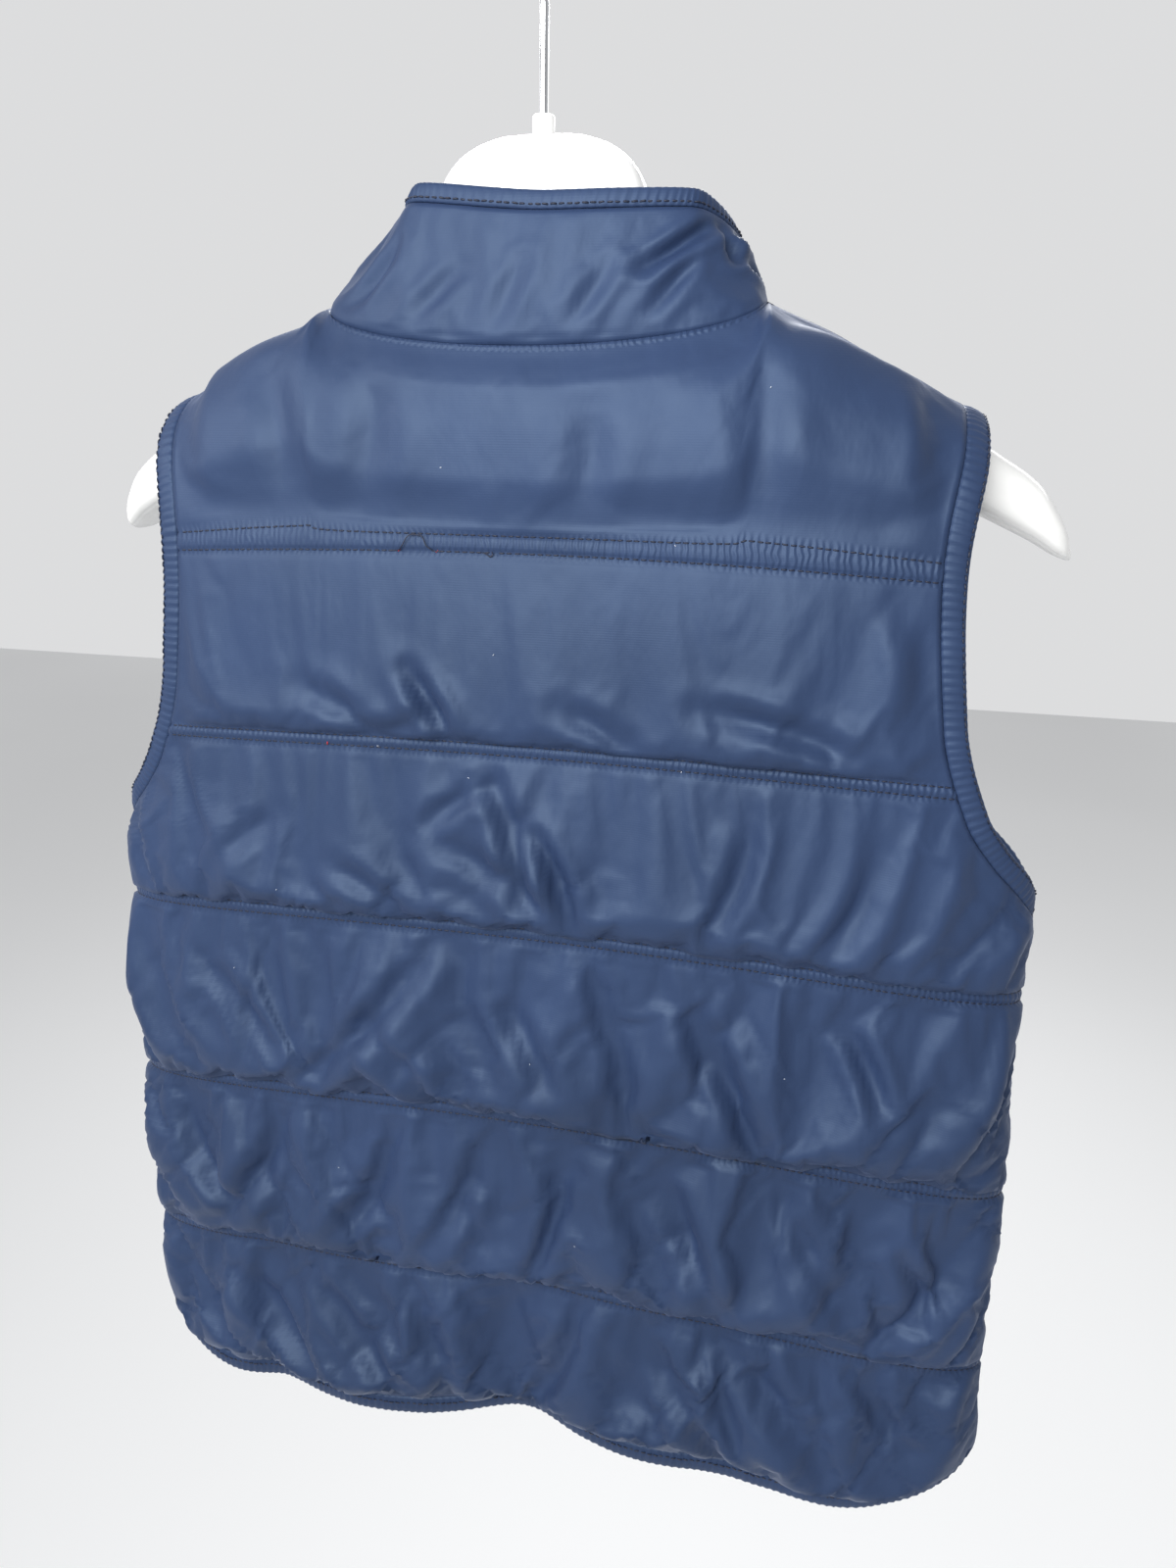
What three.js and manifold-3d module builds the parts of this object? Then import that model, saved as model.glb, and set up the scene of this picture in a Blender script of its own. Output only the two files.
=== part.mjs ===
// A padded gilet, quilted in rows and zipped up the front, hanging on a wide-shouldered hanger.
// Millimetres. +Z is up, -Y is the wearer's front and +X the wearer's left.
// The origin is the top of the inside of the hook, where a rail carries it.
import * as THREE from "three";
import { mergeVertices } from "three/addons/utils/BufferGeometryUtils.js";
import Module from "manifold-3d";

// Driving dimensions of the hanger
const HANGER_HALF_WIDTH = 217;
const HANGER_FORWARD_SWEEP = 38;
const NECK_TOP = -108;
const WIRE_RADIUS = 1.75;
const HOOK_RADIUS = 20;
const FERRULE_RADIUS = 4.4;
const FERRULE_HEIGHT = 7.5;

// Driving dimensions of the garment
const QUILT_PITCH = 88;
const QUILT_ROWS = 5;
const TOP_SEAM = -265;
const HEM = -708;
const NECK_HALF_WIDTH = 90;
const BACK_NECK_DROP = 17;
const FRONT_NECK_DROP = 52;
const SEAM_GAP = 0.3;
const SEAM_THICKNESS = 2.6;
const PADDING = 7;
const EDGE_BAND = 10;
const CHANNEL_HALF = 2.4;
const FRONT_EDGE = 5.5;

// Shape of the cloth
const SECTION_POWER = 2.4;
const SHOULDER_POWER = 0.8;
const HEM_STRAIGHT = 140;
const BACK_HEM_RISE = 44;
const FRONT_HEM_RISE = 22;
const SHOULDER_FILL = 2;
const SHOULDER_FILL_WIDTH = 30;
const SHOULDER_STANDOFF = 3;
const SHOULDER_STANDOFF_START = 145;
const SHOULDER_STANDOFF_WIDTH = 35;
const NECK_SLOPE = 0.35;
const ARM_CLEARANCE = 2;
const HANGER_SQUARENESS = 0.75;
const HEM_CORNER_POWER = 2.5;
const HEM_WAVE_ROWS = 1.5;

// How far in from each edge the padding reaches its full thickness
const EDGE_EASE = 22;
const FRONT_EASE = 20;
const NECK_EASE = 40;

const MATERIALS = {
  shell: new THREE.MeshStandardMaterial({ color: 0x2c3a63, roughness: 0.42, metalness: 0 }),
  tape: new THREE.MeshStandardMaterial({ color: 0x1b2440, roughness: 0.85, metalness: 0 }),
  metal: new THREE.MeshStandardMaterial({ color: 0xb9bcc0, roughness: 0.22, metalness: 1 }),
  plastic: new THREE.MeshStandardMaterial({ color: 0xf1f1ee, roughness: 0.3, metalness: 0 }),
};

// Heights of the hem, row 0, and of the quilting seams at the centre line.
// left and right are how far each one sags towards that side.
const SEAM_LINES = [
  { row: 0, z: HEM, left: 28, right: 31 },
  { row: 1, z: -617.5, left: 20, right: 27 },
  { row: 2, z: -525, left: 18, right: 23 },
  { row: 3, z: -431, left: 13.5, right: 20 },
  { row: 4, z: -348.5, left: 10, right: 12 },
  { row: 5, z: TOP_SEAM, left: 9, right: 11 },
];

// Horizontal sections of the inside of the body, from the hem up.
// left and right are the half widths, back and front the depths at the centre, side that of the side seams.
const SECTIONS = [
  { z: -705, left: 213, right: 217, back: 14, front: -50, side: -18 },
  { z: -617, left: 215, right: 217, back: 19, front: -52, side: -17 },
  { z: -529, left: 215, right: 217, back: 25, front: -54, side: -15 },
  { z: -441, left: 212, right: 214, back: 30, front: -54, side: -12 },
  { z: -353, left: 206, right: 214, back: 33, front: -52, side: -10 },
  { z: TOP_SEAM, left: 203, right: 212, back: 33, front: -47, side: -9 },
];

// Share of the half section that a panel covers: to the side seam up to the underarm, then to the armhole.
// Row 0 is the hem, rows 1 to 5 are the quilting seams, and row 6 is the shoulder.
const UNDERARM = 3.31;
const ARMHOLE = [
  { row: 0, back: 1, front: 1 },
  { row: UNDERARM, back: 1, front: 1 },
  { row: 3.5, back: 0.93, front: 0.915 },
  { row: 3.66, back: 0.862, front: 0.835 },
  { row: 3.85, back: 0.808, front: 0.768 },
  { row: 4.3, back: 0.752, front: 0.712 },
  { row: 5, back: 0.732, front: 0.702 },
  { row: 5.5, back: 0.75, front: 0.73 },
  { row: 6, back: 0.743, front: 0.743 },
];

// The hanger's outline from the front, and its half depth.
const HANGER_STATIONS = [
  { x: 0, top: NECK_TOP, bottom: -192, depth: 17 },
  { x: 14, top: NECK_TOP - 0.6, bottom: -192, depth: 17 },
  { x: 24, top: NECK_TOP - 3, bottom: -192.5, depth: 17 },
  { x: 32, top: NECK_TOP - 7, bottom: -193, depth: 16.5 },
  { x: 38, top: NECK_TOP - 13, bottom: -193.5, depth: 16 },
  { x: 42, top: NECK_TOP - 21, bottom: -194, depth: 15.5 },
  { x: 46, top: NECK_TOP - 33, bottom: -195, depth: 15 },
  { x: 53, top: NECK_TOP - 44, bottom: -197, depth: 14.5 },
  { x: 65, top: NECK_TOP - 53, bottom: -200, depth: 14 },
  { x: 80, top: NECK_TOP - 61, bottom: -205, depth: 14 },
  { x: 92, top: NECK_TOP - 67, bottom: -210, depth: 14 },
  { x: 115, top: NECK_TOP - 78.5, bottom: -220, depth: 15.5 },
  { x: 140, top: NECK_TOP - 92, bottom: -232, depth: 17.5 },
  { x: 165, top: NECK_TOP - 105.5, bottom: -243, depth: 19 },
  { x: 185, top: NECK_TOP - 117, bottom: -252, depth: 20 },
  { x: 202, top: NECK_TOP - 128, bottom: -260, depth: 20 },
  { x: 210, top: NECK_TOP - 138, bottom: -264.5, depth: 18 },
  { x: 215, top: NECK_TOP - 147, bottom: -266.5, depth: 14 },
  { x: HANGER_HALF_WIDTH, top: NECK_TOP - 154, bottom: -267, depth: 8 },
];

// Upper edge of the collar, from the wearer's right front end round the back to the left front end.
const COLLAR_TOP = [
  { at: -1, x: -50, y: -96, z: NECK_TOP - 68 },
  { at: -0.8, x: -74, y: -70, z: NECK_TOP - 56 },
  { at: -0.6, x: -77, y: -38, z: NECK_TOP - 44 },
  { at: -0.4, x: -73, y: -8, z: NECK_TOP - 31 },
  { at: -0.24, x: -63, y: 16, z: NECK_TOP - 24 },
  { at: 0, x: -12, y: 26, z: NECK_TOP - 25 },
  { at: 0.24, x: 43, y: 21, z: NECK_TOP - 20 },
  { at: 0.4, x: 52, y: 0, z: NECK_TOP - 24 },
  { at: 0.6, x: 62, y: -32, z: NECK_TOP - 36 },
  { at: 0.8, x: 62, y: -66, z: NECK_TOP - 48 },
  { at: 1, x: 42, y: -92, z: NECK_TOP - 62 },
];

// Waves of the hem: where along it, how wide, and how far the cloth comes out, or goes in.
const HEM_WAVES = [
  { face: "back", at: -150, width: 34, out: 5 },
  { face: "back", at: -62, width: 34, out: 6 },
  { face: "back", at: 2, width: 26, out: -13 },
  { face: "back", at: 78, width: 38, out: 8 },
  { face: "back", at: 140, width: 20, out: -7 },
  { face: "front", at: -120, width: 34, out: 7 },
  { face: "front", at: -62, width: 24, out: -6 },
  { face: "front", at: 70, width: 28, out: -7 },
  { face: "front", at: 135, width: 36, out: 7 },
];

// The largest folds of the outer cloth: two ends, as distance from the centre line and row,
// then the half width and the depth.
const FOLDS = [
  { face: "back", from: 12, row: 3.9, to: -6, toRow: 3.2, width: 11, depth: 3.4 },
  { face: "back", from: 44, row: 3.55, to: 6, toRow: 3.85, width: 8, depth: 2.4 },
  { face: "back", from: 52, row: 2.92, to: 140, toRow: 2.1, width: 10, depth: 3 },
  { face: "back", from: -56, row: 2.85, to: -106, toRow: 2.1, width: 12, depth: 3.6 },
  { face: "back", from: -80, row: 1.9, to: -122, toRow: 1.12, width: 12, depth: 3.2 },
  { face: "back", from: -116, row: 1.9, to: -156, toRow: 1.1, width: 11, depth: 2.8 },
  { face: "back", from: -96, row: 0.92, to: -156, toRow: 0.25, width: 13, depth: 3.6 },
  { face: "back", from: 56, row: 0.88, to: 38, toRow: 0.1, width: 10, depth: 3.6 },
  { face: "back", from: 178, row: 0.95, to: 130, toRow: 0.15, width: 11, depth: 3.4 },
  { face: "back", from: 118, row: 1.85, to: 128, toRow: 1.2, width: 11, depth: 2.8 },
  { face: "back", from: -152, row: 5.7, to: -166, toRow: 5.05, width: 11, depth: 2.6 },
  { face: "back", from: -150, row: 4.9, to: -166, toRow: 4.3, width: 9, depth: 2.6 },
  { face: "front", from: 60, row: 2.9, to: 120, toRow: 2.15, width: 11, depth: 3.2 },
  { face: "front", from: -48, row: 1.9, to: -104, toRow: 1.15, width: 11, depth: 3.2 },
  { face: "front", from: 96, row: 0.9, to: 64, toRow: 0.15, width: 12, depth: 3.4 },
  { face: "front", from: -120, row: 3.3, to: -70, toRow: 3.85, width: 10, depth: 2.8 },
];

const clamp = (value, low = 0, high = 1) => Math.min(high, Math.max(low, value));
const mix = (a, b, share) => a + (b - a) * share;
const smooth = (value) => {
  const t = clamp(value);
  return t * t * (3 - 2 * t);
};

// Reads a column of a table at a value of its key column, on a smooth curve through the rows.
function read(table, key, column, value) {
  const last = table.length - 1;
  const at = clamp(value, table[0][key], table[last][key]);
  let i = 0;
  while (i < last - 1 && at > table[i + 1][key]) i++;
  const slope = (low, high) => {
    return (table[high][column] - table[low][column]) / (table[high][key] - table[low][key]);
  };
  const span = table[i + 1][key] - table[i][key];
  const chord = slope(i, i + 1);
  const tangent = (row) => {
    if (row === 0 || row === last) return chord;
    const before = slope(row - 1, row);
    const after = slope(row, row + 1);
    return before * after <= 0 ? 0 : (2 * before * after) / (before + after);
  };
  const t = (at - table[i][key]) / span;
  const rise = table[i + 1][column] - table[i][column];
  return (
    table[i][column] +
    rise * t * t * (3 - 2 * t) +
    span * (tangent(i) * t * (1 - t) * (1 - t) - tangent(i + 1) * t * t * (1 - t))
  );
}

// Points of a quarter of a superellipse with the length up to each, and the point at a length along it.
const QUARTER_STEPS = 64;
function quarter(halfWidth, depth) {
  const points = [];
  let length = 0;
  for (let i = 0; i <= QUARTER_STEPS; i++) {
    const angle = (Math.PI / 2) * (i / QUARTER_STEPS);
    const x = halfWidth * Math.sin(angle) ** (2 / SECTION_POWER);
    const y = depth * Math.max(0, Math.cos(angle)) ** (2 / SECTION_POWER);
    if (i) length += Math.hypot(x - points[i - 1].x, y - points[i - 1].y);
    points.push({ x, y, length });
  }
  return points;
}
function along(points, length) {
  let i = 0;
  while (i < QUARTER_STEPS - 1 && length > points[i + 1].length) i++;
  const t = (length - points[i].length) / (points[i + 1].length - points[i].length);
  return { x: mix(points[i].x, points[i + 1].x, t), y: mix(points[i].y, points[i + 1].y, t) };
}

// The quarter section of one face, "back" or "front", on one side: 1 is the wearer's left, -1 the right.
function quarterOf(face, side, z) {
  const halfWidth = read(SECTIONS, "z", side > 0 ? "left" : "right", z);
  return quarter(halfWidth, Math.abs(read(SECTIONS, "z", face, z) - read(SECTIONS, "z", "side", z)));
}
const rowHeight = (row) => read(SEAM_LINES, "row", "z", row) + Math.min(row, 0) * QUILT_PITCH;

// Distance along the cloth from the centre line to the side, and to the edge of the panel.
function halfLength(face, side, row) {
  return quarterOf(face, side, rowHeight(row))[QUARTER_STEPS].length;
}
function edgeLength(face, side, row) {
  return halfLength(face, side, row) * read(ARMHOLE, "row", face, row) - SEAM_GAP / 2;
}

const hangerY = (x) => -HANGER_FORWARD_SWEEP * (x / HANGER_HALF_WIDTH) ** 2;
const hangerTop = (x) => read(HANGER_STATIONS, "x", "top", Math.abs(x));

// Half depth of the hanger's arm at a height, with room for the cloth that lies on it.
function armReach(x, z) {
  const out = Math.abs(x);
  const top = read(HANGER_STATIONS, "x", "top", out) + ARM_CLEARANCE;
  const bottom = read(HANGER_STATIONS, "x", "bottom", out) - ARM_CLEARANCE;
  const share = clamp(Math.abs((2 * z - top - bottom) / (top - bottom)));
  const sine = share ** (1 / HANGER_SQUARENESS);
  const depth = read(HANGER_STATIONS, "x", "depth", out) + ARM_CLEARANCE;
  return depth * Math.sqrt(1 - sine * sine) ** HANGER_SQUARENESS;
}

// Height of the shoulder line inside the cloth. Inside the neck it runs on upwards, where no cloth is.
function ridge(x) {
  const out = Math.abs(x);
  if (out < NECK_HALF_WIDTH) {
    return hangerTop(NECK_HALF_WIDTH) + ARM_CLEARANCE + NECK_SLOPE * (NECK_HALF_WIDTH - out);
  }
  const fill = SHOULDER_FILL * smooth((out - NECK_HALF_WIDTH) / SHOULDER_FILL_WIDTH);
  const standoff = SHOULDER_STANDOFF * smooth((out - SHOULDER_STANDOFF_START) / SHOULDER_STANDOFF_WIDTH);
  return hangerTop(out) + ARM_CLEARANCE + fill + standoff;
}
function neckline(face, x) {
  const drop = face === "back" ? BACK_NECK_DROP : FRONT_NECK_DROP;
  return ridge(NECK_HALF_WIDTH) - drop * Math.sqrt(Math.max(0, 1 - (x / NECK_HALF_WIDTH) ** 2));
}

function hemWave(face, s, row) {
  const fade = smooth(1 - row / HEM_WAVE_ROWS);
  let out = 0;
  for (const wave of HEM_WAVES) {
    if (wave.face === face) out += wave.out * fade * Math.exp(-(((s - wave.at) / wave.width) ** 2));
  }
  return out;
}

// Point of the inside of the body at s, the distance along the cloth from the centre line, and a row.
// Over the top seam, turn is the angle that the cloth has arched through towards the shoulder line.
function place(face, s, row, turn) {
  const side = s < 0 ? -1 : 1;
  const facing = face === "back" ? 1 : -1;
  const level = rowHeight(row);
  const points = quarterOf(face, side, level);
  const total = points[QUARTER_STEPS].length;
  const flat = along(points, Math.min(Math.abs(s), total));
  const x = side * flat.x;
  const sag = read(SEAM_LINES, "row", side > 0 ? "left" : "right", row) * (s / total) ** 2;
  let y = read(SECTIONS, "z", "side", level) + facing * flat.y;
  let z = level - sag;
  if (row < 1) {
    const rise = face === "back" ? BACK_HEM_RISE : FRONT_HEM_RISE;
    const lift = face === "back" ? 0 : BACK_HEM_RISE - FRONT_HEM_RISE;
    const corner = clamp((Math.abs(s) - HEM_STRAIGHT) / (total - HEM_STRAIGHT));
    z += (1 - row) * (lift + rise * corner ** HEM_CORNER_POWER);
  }
  y += facing * hemWave(face, s, row) * (1 - (s / total) ** 4);
  if (row > QUILT_ROWS) {
    z += (ridge(x) - z) * Math.sin(turn) ** SHOULDER_POWER;
    const arch = Math.max(0, Math.cos(turn)) ** SHOULDER_POWER * Math.abs(y - hangerY(x));
    y = hangerY(x) + facing * Math.max(arch, armReach(x, z), SEAM_GAP / 2);
  }
  return new THREE.Vector3(x, y, z);
}
function turnAt(face, s, row) {
  if (row <= QUILT_ROWS) return 0;
  const foot = place(face, s, QUILT_ROWS, 0);
  const crest = ridge(foot.x);
  const top = Math.abs(foot.x) < NECK_HALF_WIDTH ? neckline(face, foot.x) : crest;
  const share = clamp((top - foot.z) / (crest - foot.z));
  return (row - QUILT_ROWS) * Math.asin(share ** (1 / SHOULDER_POWER));
}
const inside = (face, s, row) => place(face, s, row, turnAt(face, s, row));

// Outward direction at a point of the body, from its neighbours.
function bodyNormal(face, s, row) {
  const over = row > QUILT_ROWS;
  const turn = clamp(turnAt(face, s, row), 0.03, Math.PI / 2 - 0.04);
  const here = over ? row : clamp(row, 0.02, QUILT_ROWS - 0.02);
  const across = place(face, s + 0.8, here, turn).sub(place(face, s - 0.8, here, turn));
  const rise = over
    ? place(face, s, here, turn + 0.02).sub(place(face, s, here, turn - 0.02))
    : place(face, s, here + 0.015, 0).sub(place(face, s, here - 0.015, 0));
  return across.cross(rise).normalize().multiplyScalar(face === "back" ? -1 : 1);
}

function foldDepth(face, s, row) {
  let depth = 0;
  for (const fold of FOLDS) {
    if (fold.face !== face) continue;
    const run = { x: fold.to - fold.from, z: (fold.toRow - fold.row) * QUILT_PITCH };
    const here = { x: s - fold.from, z: (row - fold.row) * QUILT_PITCH };
    const t = clamp((here.x * run.x + here.z * run.z) / (run.x ** 2 + run.z ** 2));
    const away = Math.hypot(here.x - t * run.x, here.z - t * run.z);
    const fade = Math.sqrt(Math.sin(Math.PI * clamp(t, 0.04, 0.96)));
    depth += fold.depth * fade * smooth(1 - away / fold.width);
  }
  return depth;
}

// Thickness of the padded wall: full between the quilting seams, thin at seams and along edges.
function thickness(face, s, row) {
  const side = s < 0 ? -1 : 1;
  const baffle = Math.min(Math.floor(row), QUILT_ROWS);
  const t = clamp(row - baffle);
  const fromEdge = edgeLength(face, side, row) - Math.abs(s);
  let rise = smooth((fromEdge - 1.5) / EDGE_EASE);
  if (face === "front") rise *= smooth((Math.abs(s) - FRONT_EDGE - EDGE_BAND) / FRONT_EASE);
  const fromNeck = Math.hypot(Math.abs(s) - NECK_HALF_WIDTH, (QUILT_ROWS + 1 - row) * QUILT_PITCH);
  rise *= smooth(fromNeck / NECK_EASE - 0.06);
  const upFromSeam = t * QUILT_PITCH - (baffle ? CHANNEL_HALF : EDGE_BAND);
  const downFromSeam = (1 - t) * QUILT_PITCH - (baffle < QUILT_ROWS ? CHANNEL_HALF : 1);
  const share = clamp(upFromSeam / (upFromSeam + downFromSeam));
  const quilted = Math.sin(Math.PI * share ** 0.85) ** 0.6;
  const shoulder = smooth(share * 4) * smooth((1 - share) * 3.5);
  const puff = baffle < QUILT_ROWS ? quilted : shoulder;
  const open = upFromSeam <= 0 || downFromSeam <= 0 ? 0 : puff * rise;
  return SEAM_THICKNESS + open * Math.max(0, PADDING - foldDepth(face, s, row));
}
function outside(face, s, row) {
  return inside(face, s, row).addScaledVector(bodyNormal(face, s, row), thickness(face, s, row));
}

// A closed wall between two grids of points of the same size.
function wall(inner, outer) {
  const rows = inner.length;
  const columns = inner[0].length;
  const points = [...inner.flat(), ...outer.flat()];
  const shift = rows * columns;
  const index = [];
  const quad = (a, b, c, d) => index.push(a, b, c, a, c, d);
  const at = (i, j) => i * columns + j;
  for (let i = 0; i < rows - 1; i++) {
    for (let j = 0; j < columns - 1; j++) {
      quad(at(i, j), at(i, j + 1), at(i + 1, j + 1), at(i + 1, j));
      quad(shift + at(i, j), shift + at(i + 1, j), shift + at(i + 1, j + 1), shift + at(i, j + 1));
    }
  }
  const rim = [];
  for (let j = 0; j < columns - 1; j++) rim.push(at(0, j));
  for (let i = 0; i < rows - 1; i++) rim.push(at(i, columns - 1));
  for (let j = columns - 1; j > 0; j--) rim.push(at(rows - 1, j));
  for (let i = rows - 1; i > 0; i--) rim.push(at(i, 0));
  rim.forEach((a, k) => {
    const b = rim[(k + 1) % rim.length];
    quad(a, a + shift, b + shift, b);
  });
  return facingOut(points, index);
}

// Geometry from points and triangles, turned so that its faces point out.
function facingOut(points, index) {
  let volume = 0;
  for (let i = 0; i < index.length; i += 3) {
    const [a, b, c] = [points[index[i]], points[index[i + 1]], points[index[i + 2]]];
    volume += a.dot(b.clone().cross(c));
  }
  if (volume < 0) {
    for (let i = 0; i < index.length; i += 3) [index[i + 1], index[i + 2]] = [index[i + 2], index[i + 1]];
  }
  const geometry = new THREE.BufferGeometry().setFromPoints(points);
  geometry.setIndex(index);
  geometry.computeVertexNormals();
  return geometry;
}

// Rows of the grids: close together at the seams, with a few between.
const STEPS_IN_BAFFLE = 4;
const ARMHOLE_ROWS = [UNDERARM - 0.11, UNDERARM, 3.43, 3.49, 3.57, 3.67, 3.8];
const STEPS_IN_SHOULDER = 8;
function bodyRows() {
  const rows = [];
  const channel = CHANNEL_HALF / QUILT_PITCH;
  for (let baffle = 0; baffle <= QUILT_ROWS; baffle++) {
    const low = baffle ? baffle + channel : (EDGE_BAND + SEAM_GAP) / QUILT_PITCH;
    const high = baffle < QUILT_ROWS ? baffle + 1 - channel : baffle + 1;
    const steps = baffle < QUILT_ROWS ? STEPS_IN_BAFFLE : STEPS_IN_SHOULDER;
    for (let i = 0; i <= steps; i++) rows.push(mix(low, high, i / steps));
  }
  const first = rows.findIndex((row) => row > UNDERARM - 0.15);
  const last = rows.findIndex((row) => row > UNDERARM + 0.5);
  rows.splice(first, last - first, ...ARMHOLE_ROWS);
  return rows;
}

// Columns of the grids, from start to the edge: over the neckline by its angles, then in even steps.
const NECK_STEPS = 7;
const SHOULDER_STEPS = 5;
function halfColumns(face, side, row, start) {
  const top = edgeLength(face, side, QUILT_ROWS + 1);
  const edge = edgeLength(face, side, row);
  const first = Math.asin(start / NECK_HALF_WIDTH);
  const columns = [];
  for (let i = 0; i <= NECK_STEPS; i++) {
    const share = 1 - (1 - i / NECK_STEPS) ** 1.35;
    columns.push(NECK_HALF_WIDTH * Math.sin(mix(first, Math.PI / 2, share)));
  }
  for (let i = 1; i <= SHOULDER_STEPS; i++) columns.push(mix(NECK_HALF_WIDTH, top, i / SHOULDER_STEPS));
  return columns.map((s) => side * mix(start, edge, (s - start) / (top - start)));
}
function columnsOf(name, row) {
  if (name === "front_left") return halfColumns("front", 1, row, FRONT_EDGE);
  if (name === "front_right") return halfColumns("front", -1, row, FRONT_EDGE);
  return [...halfColumns("back", -1, row, 0).slice(1).reverse(), ...halfColumns("back", 1, row, 0)];
}
function panel(name) {
  const face = name === "back" ? "back" : "front";
  const rows = bodyRows();
  const inner = rows.map((row) => columnsOf(name, row).map((s) => inside(face, s, row)));
  const outer = rows.map((row) => columnsOf(name, row).map((s) => outside(face, s, row)));
  return wall(inner, outer);
}

// A closed body through sections of the same number of points, as a ring or with its two ends shut.
function sweep(sections, ring = false) {
  const count = sections[0].length;
  const points = sections.flat();
  const index = [];
  const spans = ring ? sections.length : sections.length - 1;
  for (let k = 0; k < spans; k++) {
    const here = k * count;
    const there = ((k + 1) % sections.length) * count;
    for (let i = 0; i < count; i++) {
      const next = (i + 1) % count;
      index.push(here + i, here + next, there + next, here + i, there + next, there + i);
    }
  }
  if (!ring) {
    const last = (sections.length - 1) * count;
    for (let i = 1; i < count - 1; i++) index.push(0, i + 1, i, last, last + i, last + i + 1);
  }
  return facingOut(points, index);
}

// Section of a binding: distance from the panel's edge, and height over the inside of the cloth.
const BINDING_HEIGHT = 3;
const BINDING_ROUND = 1.3;
const BINDING = [
  { off: SEAM_GAP, up: 0 },
  { off: EDGE_BAND - BINDING_ROUND, up: 0 },
  { off: EDGE_BAND, up: 0.8 },
  { off: EDGE_BAND, up: BINDING_HEIGHT - 0.8 },
  { off: EDGE_BAND - BINDING_ROUND, up: BINDING_HEIGHT },
  { off: SEAM_GAP, up: BINDING_HEIGHT },
];

// The armhole's binding: a ring from the underarm up the back to the shoulder, and down the front.
function armholeBinding(side) {
  const shoulder = QUILT_ROWS + 1;
  const rows = bodyRows().filter((row) => row > UNDERARM - 0.001);
  const down = rows.slice(0, -1).reverse();
  const stations = [...rows.map((row) => ["back", row]), ...down.map((row) => ["front", row])];
  const path = stations.map(([face, row]) => {
    const fromSide = halfLength(face, side, row) - edgeLength(face, side, row);
    return { face, row, u: face === "back" ? fromSide : -fromSide, h: row * QUILT_PITCH };
  });
  const closed = path.slice(0, -1);
  const sections = closed.map((here, k) => {
    const before = closed[(k - 1 + closed.length) % closed.length];
    const after = closed[(k + 1) % closed.length];
    const run = new THREE.Vector2(after.u - before.u, after.h - before.h).normalize();
    const atShoulder = here.row > shoulder - 0.01;
    const into = atShoulder ? new THREE.Vector2(-1, 0) : new THREE.Vector2(-run.y, run.x);
    return BINDING.map(({ off, up }) => {
      const u = here.u + off * into.x;
      const row = Math.min(shoulder, here.row + (off * into.y) / QUILT_PITCH);
      const face = u >= 0 ? "back" : "front";
      const s = side * (halfLength(face, side, row) - Math.abs(u));
      const normal = bodyNormal(face, s, row);
      if (atShoulder) normal.add(bodyNormal("front", s, row)).normalize();
      return inside(face, s, row).addScaledVector(normal, up);
    });
  });
  return sweep(sections, true);
}

// The hem's binding: from the left front edge round the back to the right front edge.
function hemBinding() {
  const row = EDGE_BAND / QUILT_PITCH;
  const path = [
    ...columnsOf("front_left", row).map((s) => ({ face: "front", s })),
    ...columnsOf("back", row).reverse().map((s) => ({ face: "back", s })),
    ...columnsOf("front_right", row).reverse().map((s) => ({ face: "front", s })),
  ];
  const sections = path.map(({ face, s }) =>
    BINDING.map(({ off, up }) => {
      const at = row - off / QUILT_PITCH;
      return inside(face, s, at).addScaledVector(bodyNormal(face, s, row), up);
    }),
  );
  return sweep(sections);
}

// The neckline, from the right front edge round the back to the left, on both faces of the cloth.
function necklinePoints() {
  const row = QUILT_ROWS + 1;
  const take = (face, list) => {
    return list.filter((s) => Math.abs(s) <= NECK_HALF_WIDTH + 0.01).map((s) => ({ face, s }));
  };
  const path = [
    ...take("front", columnsOf("front_right", row)),
    ...take("back", columnsOf("back", row)),
    ...take("front", columnsOf("front_left", row)).reverse(),
  ];
  const points = path.map(({ face, s }) => ({ inner: inside(face, s, row), outer: outside(face, s, row) }));
  return points.filter((point, k) => k === 0 || point.inner.distanceTo(points[k - 1].inner) > 1);
}

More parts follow.
